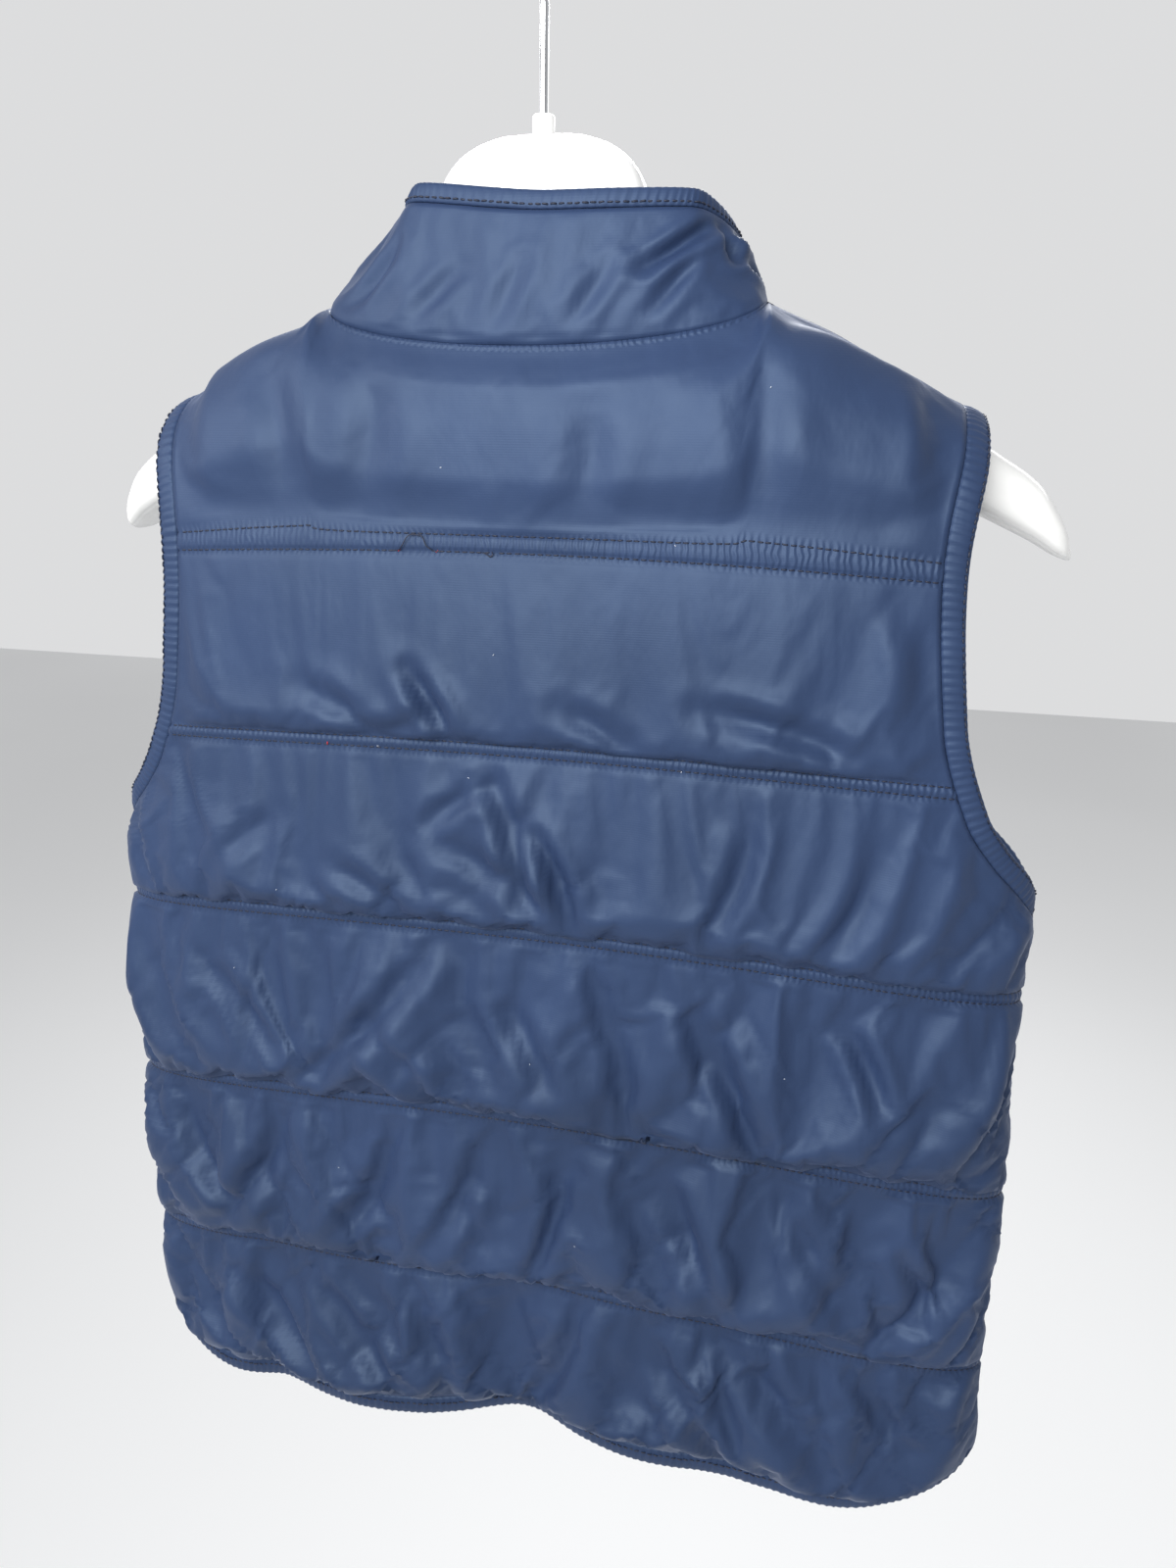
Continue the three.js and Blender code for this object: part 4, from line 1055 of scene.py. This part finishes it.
def armhole_binding(side, name):
    path, shoulder = armhole_path(side)
    run = unit(np.roll(path, -1, axis=0) - np.roll(path, 1, axis=0))
    into = np.stack([-run[:, 1], run[:, 0]], axis=1)
    near = np.abs(np.arange(len(path)) - shoulder) <= 1
    into[near] = (-1, 0)
    into[shoulder + 1:][near[shoulder + 1:]] = (1, 0)
    off, up = PROFILE[:, 0], PROFILE[:, 1]
    u = path[:, :1] + off * into[:, :1]
    row = np.minimum(SHOULDER, (path[:, 1:] + off * into[:, 1:]) / QUILT_PITCH)
    sections = np.empty(u.shape + (3,))
    normals = np.empty(u.shape + (3,))
    for face, chosen in (("back", u >= 0), ("front", u < 0)):
        s = side * (half_length(face, side, row[chosen]) - np.abs(u[chosen]))
        sections[chosen] = inside(face, s, row[chosen])
        normals[chosen] = body_normal(face, s, row[chosen])
    top = slice(shoulder - 3, shoulder + 4)
    normals[top] = unit(normals[top].mean(axis=0, keepdims=True) + 0 * normals[top])
    length = path_length(sections[:, 0])
    even = np.linspace(0, length[-1], round(length[-1] / BINDING_STEP))
    resample = lambda rows: np.stack([read_line(even, length, rows[:, i]) for i in range(rows.shape[1])], axis=1)
    sections, normals = resample(sections), unit(resample(normals))
    height = gathered(up[None, :] + 0 * even[:, None], even[:, None] + 0 * up, 21 + side)
    strip = sections + normals * height[..., None]
    BINDING_LINES.append((strip[:, BINDING_STITCH], normals[:, BINDING_STITCH]))
    points, quads = sweep(strip, ring=True)
    return new_mesh(name, points, quads.tolist())


def hem_binding():
    row = EDGE_BAND / QUILT_PITCH
    parts = []
    for face, side, start, flip in (("front", 1, FRONT_EDGE, False), ("back", 1, 0, True), ("back", -1, 0, False),
                                    ("front", -1, FRONT_EDGE, True)):
        edge = float(edge_length(face, side, row))
        s = side * np.linspace(start, edge, round((edge - start) / BINDING_STEP))
        parts.append((face, s[::-1] if flip else s))
    off, up = PROFILE[:, 0], PROFILE[:, 1]
    sections, normals = [], []
    for face, s in parts:
        at = row - off / QUILT_PITCH
        sections.append(inside(face, s[:, None], at[None, :]))
        normals.append(body_normal(face, s[:, None], np.full((1, len(off)), row)))
    sections, normals = np.concatenate(sections), np.concatenate(normals)
    along = np.arange(len(sections)) * BINDING_STEP
    height = gathered(up[None, :] + 0 * along[:, None], along[:, None] + 0 * up, 31)
    strip = sections + normals * height[..., None]
    BINDING_LINES.append((strip[:, HEM_STITCH], normals[:, HEM_STITCH]))
    points, quads = sweep(strip)
    return new_mesh("binding_hem", points, quads.tolist())


def collar_binding():
    high = np.array([COLLAR_SEAM + 0.006, 0.9, 0.94, 0.975, 0.995, 1.0, 0.995, 0.975, 0.94, 0.9, 0.88, 0.869])
    up = np.array([-1.25, -1.5, -1.6, -1.4, -0.9, 0.0, 0.9, 1.4, 1.7, 1.75, 1.6, 1.2])
    sheet, _, _, at = collar_sheet(np.linspace(0.8, 1.0, 21))
    normal = sheet_normal(sheet)
    fine = np.linspace(0, len(at) - 1, round(2 * COLLAR_HALF_LENGTH / BINDING_STEP))
    pick = lambda rows: np.stack([np.stack([np.interp(fine, np.arange(len(at)), rows[i, :, k]) for k in range(3)], 1)
                                  for i in range(len(rows))])
    sheet, normal = pick(sheet), unit(pick(normal))
    level = np.clip((high - 0.8) / 0.01, 0, 19.999)
    low, share = np.floor(level).astype(int), (level % 1)[:, None, None]
    base = mix(sheet[low], sheet[low + 1], share)
    out = mix(normal[low], normal[low + 1], share)
    along = fine * CLOTH_STEP
    height = gathered(up[:, None] + 1.25 + 0 * along, along[None, :] + 0 * up[:, None], 41) - 1.25
    strip = (base + out * height[..., None]).transpose(1, 0, 2)
    BINDING_LINES.append((strip[:, HEM_STITCH], out[HEM_STITCH]))
    points, quads = sweep(strip)
    return new_mesh("binding_collar", points, quads.tolist())


def close_ends(made):
    """Shuts the two open ends of a swept strip."""
    shape = bmesh.new()
    shape.from_mesh(made.data)
    bmesh.ops.holes_fill(shape, edges=[edge for edge in shape.edges if edge.is_boundary], sides=0)
    shape.to_mesh(made.data)
    shape.free()


for side, word in ((1, "left"), (-1, "right")):
    made = armhole_binding(side, "binding_armhole_" + word)
    finish_piece(made, NYLON, "shell", "armhole_binding_" + word)
for made, node in ((hem_binding(), "hem_binding"), (collar_binding(), "collar_binding")):
    close_ends(made)
    finish_piece(made, NYLON, "shell", node)


# Sewing: short stitches, each a small bowed tube

STITCH_PITCH = 3.2
STITCH_LENGTH = 2.5
STITCH_RADIUS = 0.36
STITCH_SIDES = 6


def stitch_places(points, normals, seed, keep=None):
    """Middle, direction and normal of each stitch along a line on the cloth."""
    length = path_length(points)
    at = np.arange(STITCH_PITCH * 0.7, length[-1] - STITCH_PITCH * 0.5, STITCH_PITCH)
    at = at + np.random.default_rng(seed).uniform(-0.25, 0.25, len(at))
    middle, out = read_line(at, length, points), unit(read_line(at, length, normals))
    ahead = unit(read_line(at + 1, length, points) - read_line(at - 1, length, points))
    chosen = np.ones(len(at), bool) if keep is None else np.interp(at, length, keep) > 0.5
    return middle[chosen], ahead[chosen], out[chosen]


def stitch_mesh(name, lines):
    """One mesh of all the stitches along the lines."""
    middle, ahead, out = (np.concatenate(rows) for rows in zip(*lines))
    wobble = np.random.default_rng(len(middle)).uniform(-0.09, 0.09, (len(middle), 1))
    across = np.cross(ahead, out)
    ahead = unit(ahead + across * wobble)
    across = unit(np.cross(ahead, out))
    share = np.array([-1, -0.82, -0.35, 0.35, 0.82, 1])
    height = 0.22 - 0.42 * share**4
    size = STITCH_RADIUS * np.array([0.45, 0.9, 1, 1, 0.9, 0.45])
    angles = np.arange(STITCH_SIDES) * 2 * math.pi / STITCH_SIDES
    along = share * STITCH_LENGTH / 2
    points = (middle[:, None, None] + ahead[:, None, None] * along[None, :, None, None]
              + out[:, None, None] * (height[:, None] + size[:, None] * np.cos(angles))[None, :, :, None]
              + across[:, None, None] * (size[:, None] * np.sin(angles))[None, :, :, None])
    made = new_mesh(name, points.reshape(-1, 3), equal_tubes(len(middle), len(share), STITCH_SIDES))
    return finish_piece(made, THREAD, "shell")


def on_panel(panel, s, row):
    """Points and normals on the settled outer cloth of a panel."""
    rows = panel.row[:, 0]
    i = int(np.clip(np.searchsorted(rows, row) - 1, 0, len(rows) - 2))
    t = (row - rows[i]) / (rows[i + 1] - rows[i])
    order = np.argsort(panel.s[i])

    def pick(grid, k):
        return np.array([np.interp(s, panel.s[k][order], grid[k][order, c]) for c in range(3)])

    point = mix(pick(panel.outer, i), pick(panel.outer, i + 1), t)
    return point, mix(pick(panel.normal, i), pick(panel.normal, i + 1), t)


# Broken stitches on the top seam of the back: distances from the centre line where the thread is gone
BREAKS = ((34.0, 51.0), (7.5, 12.0))

for panel in PANELS.values():
    channel = CHANNEL_HALF / QUILT_PITCH
    rows = panel.row[:, 0]
    lines = []
    for seam in range(1, QUILT_ROWS + 1):
        for sign in (-1, 1):
            i = int(np.argmin(np.abs(rows - seam - sign * channel * 0.98)))
            keep = np.ones(panel.s.shape[1])
            if panel.name == "back" and seam == QUILT_ROWS and sign < 0:
                for low, high in BREAKS:
                    keep[(panel.s[i] > low) & (panel.s[i] < high)] = 0
            lines.append(stitch_places(panel.outer[i], panel.normal[i], seam * 2 + sign, keep))
    if panel.face == "front":
        side = 1 if panel.name == "front_left" else -1
        edge = [on_panel(panel, side * (FRONT_EDGE + 7), row) for row in np.linspace(0.13, SHOULDER - 0.02, 400)]
        points, normals = (np.array(rows) for rows in zip(*edge))
        lines.append(stitch_places(points, normals, 60 + side))
    stitch_mesh("stitches_" + panel.name, lines)
stitch_mesh("stitches_bindings", [stitch_places(*line, 70 + k) for k, line in enumerate(BINDING_LINES)])


def tube(path, radius, sides, flat_axis=None):
    """Points and quads of a round tube along a path, with rounded ends."""
    path = np.asarray(path, float)
    ahead = unit(np.gradient(path, axis=0))
    if flat_axis is None:
        flat_axis = unit(np.cross(ahead, np.array([0.31, 0.2, 0.93])))
    side = unit(flat_axis - np.einsum("ij,ij->i", np.broadcast_to(flat_axis, ahead.shape), ahead)[:, None] * ahead)
    other = np.cross(ahead, side)
    ends = np.array([0.25, 0.65, 0.9])
    shares = np.concatenate([ends, np.ones(len(path)), ends[::-1]])
    index = np.concatenate([[0] * 3, np.arange(len(path)), [len(path) - 1] * 3])
    cap = radius * np.sqrt(1 - ends**2)
    offsets = np.concatenate([-cap, np.zeros(len(path)), cap[::-1]])
    angles = np.arange(sides) * 2 * math.pi / sides
    centre = path[index] + ahead[index] * offsets[:, None]
    reach = (radius * shares)[:, None, None]
    sections = centre[:, None] + reach * (side[index][:, None] * np.cos(angles)[None, :, None]
                                          + other[index][:, None] * np.sin(angles)[None, :, None])
    return sweep(sections)


def loose_thread(name, stations):
    """A fine thread that lies on the back, through stations of distance from the centre line, row and height."""
    stations = np.array(stations)
    t = np.linspace(0, len(stations) - 1, 12 * len(stations))
    wave = np.arange(len(stations))
    smooth_at = [read({"k": wave, "v": stations[:, c]}, "k", "v", t) for c in range(3)]
    path = []
    for s, row, height in zip(*smooth_at):
        point, out = on_panel(PANELS["back"], s, row)
        path.append(point + out * (0.3 + height))
    points, quads = tube(path, 0.24, 8)
    made = new_mesh(name, points, quads.tolist())
    close_ends(made)
    return finish_piece(made, THREAD, "shell")


LOW_STITCH = QUILT_ROWS - CHANNEL_HALF / QUILT_PITCH
loose_thread("loose_thread_loop", [
    (53, LOW_STITCH, 0.1), (50, LOW_STITCH + 0.004, 0.4), (47.5, LOW_STITCH + 0.03, 1.2), (44, LOW_STITCH + 0.052, 1.6),
    (40, LOW_STITCH + 0.05, 1.4), (37, LOW_STITCH + 0.022, 0.9), (34.5, LOW_STITCH + 0.002, 0.5), (32, LOW_STITCH, 0.1),
])
loose_thread("loose_thread_end", [
    (14, LOW_STITCH, 0.1), (12, LOW_STITCH - 0.006, 0.5), (10.6, LOW_STITCH - 0.014, 0.8), (9.4, LOW_STITCH - 0.006, 0.9),
    (9.8, LOW_STITCH + 0.004, 0.6),
])


def specks(name, places, size, material):
    """Tiny knots of thread or lint on the back, at distances from the centre line and rows."""
    random = np.random.default_rng(len(places))
    points, quads = [], []
    for s, row in places:
        middle, out = on_panel(PANELS["back"], s, row)
        turn = random.uniform(-1, 1, 3)
        path = [middle + out * (0.2 + size * 0.3) + unit(turn - out * (turn @ out)) * size * k for k in (-1, 0, 0.9)]
        path[1] = path[1] + out * size * 0.3
        more, faces = tube(path, size * 0.45, 7)
        quads.append(faces + sum(len(p) for p in points))
        points.append(more)
    made = new_mesh(name, np.concatenate(points), np.concatenate(quads).tolist())
    close_ends(made)
    return finish_piece(made, material, "shell")


specks("red_thread_ends", [(50, LOW_STITCH + 0.002), (33.5, LOW_STITCH), (86, 4 - 0.02)], 0.5, RED_THREAD)
specks("lint", [(20, 3.86), (-42, 4.03), (62, 3.98), (-70, 3.97), (111, 3.2), (-8, 2.4), (-120, 2.52), (30, 5.3),
                (-96, 5.42), (140, 2.7), (-30, 1.4), (92, 1.62), (-64, 5.02), (8, 4.5)], 0.28, LINT)


# The zip: two tapes, their teeth, the slider and its pull tab

SLIDER_ROW = QUILT_ROWS + 0.84
TAPE_GAP = 0.35
TAPE_WIDTH = 12.0
TAPE_THICKNESS = 0.9
TAPE_STEP = 1.25
COLLAR_TAPE_REACH = 4.5
COLLAR_TAPE_INSET = 7.0
TOOTH_PITCH = 2.5


def tape_frame(side):
    """Lines along one half of the zip: its free edge, its sewn edge and its outward direction, from the hem up."""
    rows = np.linspace(0.03, QUILT_ROWS + 0.97, 260)
    free = inside("front", side * TAPE_GAP, rows)
    sewn = inside("front", side * TAPE_WIDTH, rows)
    out = body_normal("front", side * 6.0 + 0 * rows, rows)
    shares = np.linspace(0.05, 0.97, 46)
    sheet, _, _, at = collar_sheet(shares)
    normal = sheet_normal(sheet)
    end, beside = (-1, -2) if side > 0 else (0, 1)
    along = unit(sheet[:, end] - sheet[:, beside])
    face = normal[:, end]
    base = sheet[:, end] - face * (SEAM_THICKNESS / 2 + 0.55)
    free = np.concatenate([free, base + along * COLLAR_TAPE_REACH])
    sewn = np.concatenate([sewn, base - along * COLLAR_TAPE_INSET])
    out = np.concatenate([out, face])
    length = path_length(free)
    slider_at = np.interp(SLIDER_ROW, rows, length[: len(rows)])
    even = np.arange(0, length[-1], TAPE_STEP)
    free, sewn, out = (read_line(even, length, line) for line in (free, sewn, out))
    return even, free, sewn, unit(out), slider_at


def zip_tape(side, name):
    at, free, sewn, out, _ = tape_frame(side)
    shares = np.array([0, 0.12, 0.24, 0.45, 0.7, 1.0])
    raised = np.array([0.25, 0.25, 0.0, 0.0, 0.0, 0.0])
    low = free[:, None] + (sewn - free)[:, None] * shares[None, :, None] - out[:, None] * TAPE_THICKNESS
    high = low + out[:, None] * (TAPE_THICKNESS + raised)[None, :, None]
    points, quads = closed_wall(low, high)
    made = finish_piece(new_mesh("tape_" + name, points, quads.tolist()), TAPE, "tape", "zip_tape_" + name)


def zip_teeth(side, name):
    """Moulded teeth along the free edge of a tape, staggered so that the two halves mesh."""
    at, free, sewn, out, slider_at = tape_frame(side)
    shift = 0 if side > 0 else TOOTH_PITCH / 2
    places = np.arange(3 + shift, at[-1] - 3, TOOTH_PITCH)
    places = places[np.abs(places - slider_at) > 4.5]
    middle, towards, up = (read_line(places, at, line) for line in (free, free - sewn, out))
    towards, up = unit(towards), unit(up)
    along = unit(np.cross(up, towards))
    reach = np.array([-1.9, -1.7, -0.4, 0.2, 0.5, 1.15, 1.45])
    half_width = np.array([0.45, 0.68, 0.68, 0.42, 0.42, 0.66, 0.4])
    half_depth = np.array([0.5, 0.8, 0.95, 0.8, 0.8, 0.9, 0.55])
    angles = np.array([15, 75, 105, 165, 195, 255, 285, 345]) * math.pi / 180
    corner = np.stack([np.sign(np.cos(angles)) * np.abs(np.cos(angles)) ** 0.35,
                       np.sign(np.sin(angles)) * np.abs(np.sin(angles)) ** 0.35], axis=1)
    points = (middle[:, None, None] + towards[:, None, None] * reach[None, :, None, None]
              + along[:, None, None] * (half_width[:, None] * corner[:, 0])[None, :, :, None]
              + up[:, None, None] * (0.35 + half_depth[:, None] * corner[:, 1])[None, :, :, None])
    faces = equal_tubes(len(places), len(reach), len(angles))
    finish_piece(new_mesh("teeth_" + name, points.reshape(-1, 3), faces), ZIP_METAL, "zip_metal")


for side, name in ((1, "left"), (-1, "right")):
    zip_tape(side, name)
    zip_teeth(side, name)


def rounded_copy(node, name, width, material, slot, body):
    """A piece of the same form as a solid, with its edges rounded off."""
    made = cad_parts[node].copy()
    made.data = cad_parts[node].data.copy()
    for key in list(made.keys()):
        del made[key]
    made.name = made.data.name = name
    bpy.context.scene.collection.objects.link(made)
    made.parent = None
    made.matrix_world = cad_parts[node].matrix_world
    shape = bmesh.new()
    shape.from_mesh(made.data)
    bmesh.ops.remove_doubles(shape, verts=shape.verts, dist=0.01 * MM)
    bmesh.ops.dissolve_limit(shape, angle_limit=math.radians(1), verts=shape.verts, edges=shape.edges)
    sharp = [edge for edge in shape.edges if len(edge.link_faces) == 2 and edge.calc_face_angle() > math.radians(35)]
    bmesh.ops.bevel(shape, geom=sharp, offset=width * MM, segments=3, profile=0.6, affect="EDGES", clamp_overlap=True)
    shape.to_mesh(made.data)
    shape.free()
    made.data.polygons.foreach_set("use_smooth", [True] * len(made.data.polygons))
    made.data.set_sharp_from_angle(angle=math.radians(40))
    return finish_piece(made, material, slot, node, body=body)


rounded_copy("zip_slider", "slider", 0.28, ZIP_METAL, "zip_metal", "garment")
rounded_copy("zip_pull", "pull_tab", 0.28, ZIP_METAL, "zip_metal", "pull")


# The hanger: moulded arms with a parting line, a ferrule and a wire hook

HANGER_SQUARENESS = 0.75
HANGER_TIP_ROUND = 1.4
HANGER_SIDES = 96
HANGER_STEP = 1.8


def hanger_body():
    edge = np.linspace(0, 1, 9)[1:] ** 0.7
    inner = np.linspace(0, HANGER_HALF_WIDTH, round(HANGER_HALF_WIDTH / HANGER_STEP))
    half = np.concatenate([inner, HANGER_HALF_WIDTH + HANGER_TIP_ROUND * edge])
    size = np.concatenate([np.ones(len(inner)), np.sqrt(np.maximum(0.0009, 1 - edge**2))])
    x = np.concatenate([-half[:0:-1], half])
    size = np.concatenate([size[:0:-1], size])[:, None]
    angles = np.arange(HANGER_SIDES) * 2 * math.pi / HANGER_SIDES
    rounded = lambda v: np.sign(v) * np.abs(v) ** HANGER_SQUARENESS
    out = np.abs(x)
    top, bottom = hanger_top(x)[:, None], read(HANGER, "x", "bottom", out)[:, None]
    depth = read(HANGER, "x", "depth", out)[:, None]
    parting = 1 - 0.02 * np.exp(-(((np.sin(angles) + 0.8) / 0.03) ** 2))
    y = hanger_y(x)[:, None] + depth * size * parting * rounded(np.cos(angles))
    z = (top + bottom) / 2 + (top - bottom) / 2 * size * rounded(np.sin(angles)) * parting
    sections = np.stack([np.broadcast_to(x[:, None], y.shape), y, z], axis=-1)
    points, quads = sweep(sections)
    made = new_mesh("hanger_arms", points, quads.tolist())
    close_ends(made)
    finish_piece(made, PLASTIC, "hanger_plastic", "hanger_body")


def hanger_ferrule():
    low = NECK_TOP - 0.5
    bore = WIRE_RADIUS + 0.35
    edge = np.linspace(0, math.pi / 2, 6)
    profile = [(bore, low), (FERRULE_RADIUS, low), (FERRULE_RADIUS, low + 1)]
    profile += [(FERRULE_RADIUS - 1 + math.cos(a), low + FERRULE_HEIGHT - 1 + math.sin(a)) for a in edge]
    profile += [(bore + 0.3, low + FERRULE_HEIGHT), (bore, low + FERRULE_HEIGHT - 0.3)]
    angles = np.arange(48) * 2 * math.pi / 48
    sections = np.array([[(r * math.cos(a), r * math.sin(a), z) for r, z in profile] for a in angles])
    points, quads = sweep(sections, ring=True)
    made = new_mesh("ferrule", points, quads.tolist())
    made.data.set_sharp_from_angle(angle=math.radians(50))
    finish_piece(made, PLASTIC, "hanger_plastic", "hanger_ferrule")


def hanger_hook():
    radius, centre, bend = HOOK_RADIUS + WIRE_RADIUS, -HOOK_RADIUS, -64
    first, last = math.radians(-48), math.radians(196)
    stem = [(0, 0, z) for z in np.linspace(NECK_TOP + 1, bend, 24)]
    start, end = np.array([0, 0, bend]), np.array([radius * math.cos(first), 0, centre + radius * math.sin(first)])
    pull = 27
    leave, arrive = np.array([0, 0, pull]), pull * np.array([-math.sin(first), 0, math.cos(first)])
    t = np.linspace(0, 1, 20)[1:-1, None]
    swing = ((2 * t**3 - 3 * t**2 + 1) * start + (t**3 - 2 * t**2 + t) * leave
             + (3 * t**2 - 2 * t**3) * end + (t**3 - t**2) * arrive)
    arc = [(radius * math.cos(a), 0, centre + radius * math.sin(a)) for a in np.linspace(first, last, 90)]
    points, quads = tube(np.concatenate([stem, swing, arc]), WIRE_RADIUS, 20, np.array([0.0, 1.0, 0.0]))
    made = new_mesh("hook_wire", points, quads.tolist())
    close_ends(made)
    finish_piece(made, CHROME, "wire", "hanger_hook")


hanger_body()
hanger_ferrule()
hanger_hook()


# Camera, light and stage

camera_data = bpy.data.cameras.new("camera")
camera = bpy.data.objects.new("camera", camera_data)
bpy.context.scene.collection.objects.link(camera)
bpy.context.scene.camera = camera
camera_data.sensor_fit = "VERTICAL"
camera_data.sensor_height = 36
camera_data.lens = 27
camera_data.clip_start = 0.01
CAMERA_PLACE = Vector((-139.9, 492.9, -231.9)) * MM
CAMERA_YAW, CAMERA_PITCH, CAMERA_ROLL = (math.radians(a) for a in (-13.33, 15.24, 1.15))
forward = Vector((-math.sin(CAMERA_YAW) * math.cos(CAMERA_PITCH), -math.cos(CAMERA_YAW) * math.cos(CAMERA_PITCH),
                  -math.sin(CAMERA_PITCH)))
right = Vector((-math.cos(CAMERA_YAW), math.sin(CAMERA_YAW), 0))
up = right.cross(forward)
rolled_right = right * math.cos(CAMERA_ROLL) + up * math.sin(CAMERA_ROLL)
rolled_up = up * math.cos(CAMERA_ROLL) - right * math.sin(CAMERA_ROLL)
turn = Matrix((rolled_right, rolled_up, -forward)).transposed()
camera.matrix_world = Matrix.Translation(CAMERA_PLACE) @ turn.to_4x4()


def area_light(name, place, target, size, power):
    data = bpy.data.lights.new(name, "AREA")
    data.shape = "RECTANGLE"
    data.size, data.size_y = size
    data.energy = power
    light = bpy.data.objects.new(name, data)
    bpy.context.scene.collection.objects.link(light)
    light.location = place
    light.rotation_euler = (Vector(target) - Vector(place)).to_track_quat("-Z", "Y").to_euler()


area_light("key_above", (0.15, 1.1, 0.1), (0, 0, -0.45), (1.0, 0.6), 23)
area_light("side_left", (1.1, 0.6, 0.2), (0, 0, -0.4), (0.3, 0.6), 6)
area_light("front_above", (0.2, -0.9, 0.4), (0, 0, -0.38), (0.7, 0.4), 14)
area_light("floor_wash", (0, -3, 0.8), (0, -3.4, -2.6), (4, 2), 50)

# The room is bright beyond the garment and dimmer behind the camera
ROOM_BRIGHT = 0.73
ROOM_DIM = 0.42
world = bpy.data.worlds.new("studio")
bpy.context.scene.world = world
world.use_nodes = True
background = world.node_tree.nodes["Background"]
background.inputs["Color"].default_value = (0.985, 0.99, 1, 1)
direction = world.node_tree.nodes.new("ShaderNodeTexCoord")
parts = world.node_tree.nodes.new("ShaderNodeSeparateXYZ")
room = world.node_tree.nodes.new("ShaderNodeMapRange")
room.interpolation_type = "SMOOTHSTEP"
room.inputs["From Min"].default_value = -0.55
room.inputs["From Max"].default_value = 0.45
room.inputs["To Min"].default_value = ROOM_BRIGHT
room.inputs["To Max"].default_value = ROOM_DIM
world.node_tree.links.new(direction.outputs["Generated"], parts.inputs["Vector"])
world.node_tree.links.new(parts.outputs["Y"], room.inputs["Value"])
world.node_tree.links.new(room.outputs["Result"], background.inputs["Strength"])

FLOOR_HALF = 12000
FLOOR_LEVEL = -2600
corners = [(-FLOOR_HALF, -FLOOR_HALF), (FLOOR_HALF, -FLOOR_HALF), (FLOOR_HALF, FLOOR_HALF), (-FLOOR_HALF, FLOOR_HALF)]
floor = new_mesh("floor", np.array([(x, y, FLOOR_LEVEL) for x, y in corners]), [(0, 1, 2, 3)], False)
floor.data.materials.append(plain_material("pale_floor", (0.95, 0.955, 0.96), 0.9, grain=1, bump=0.0))

bpy.context.scene.view_settings.view_transform = "Standard"
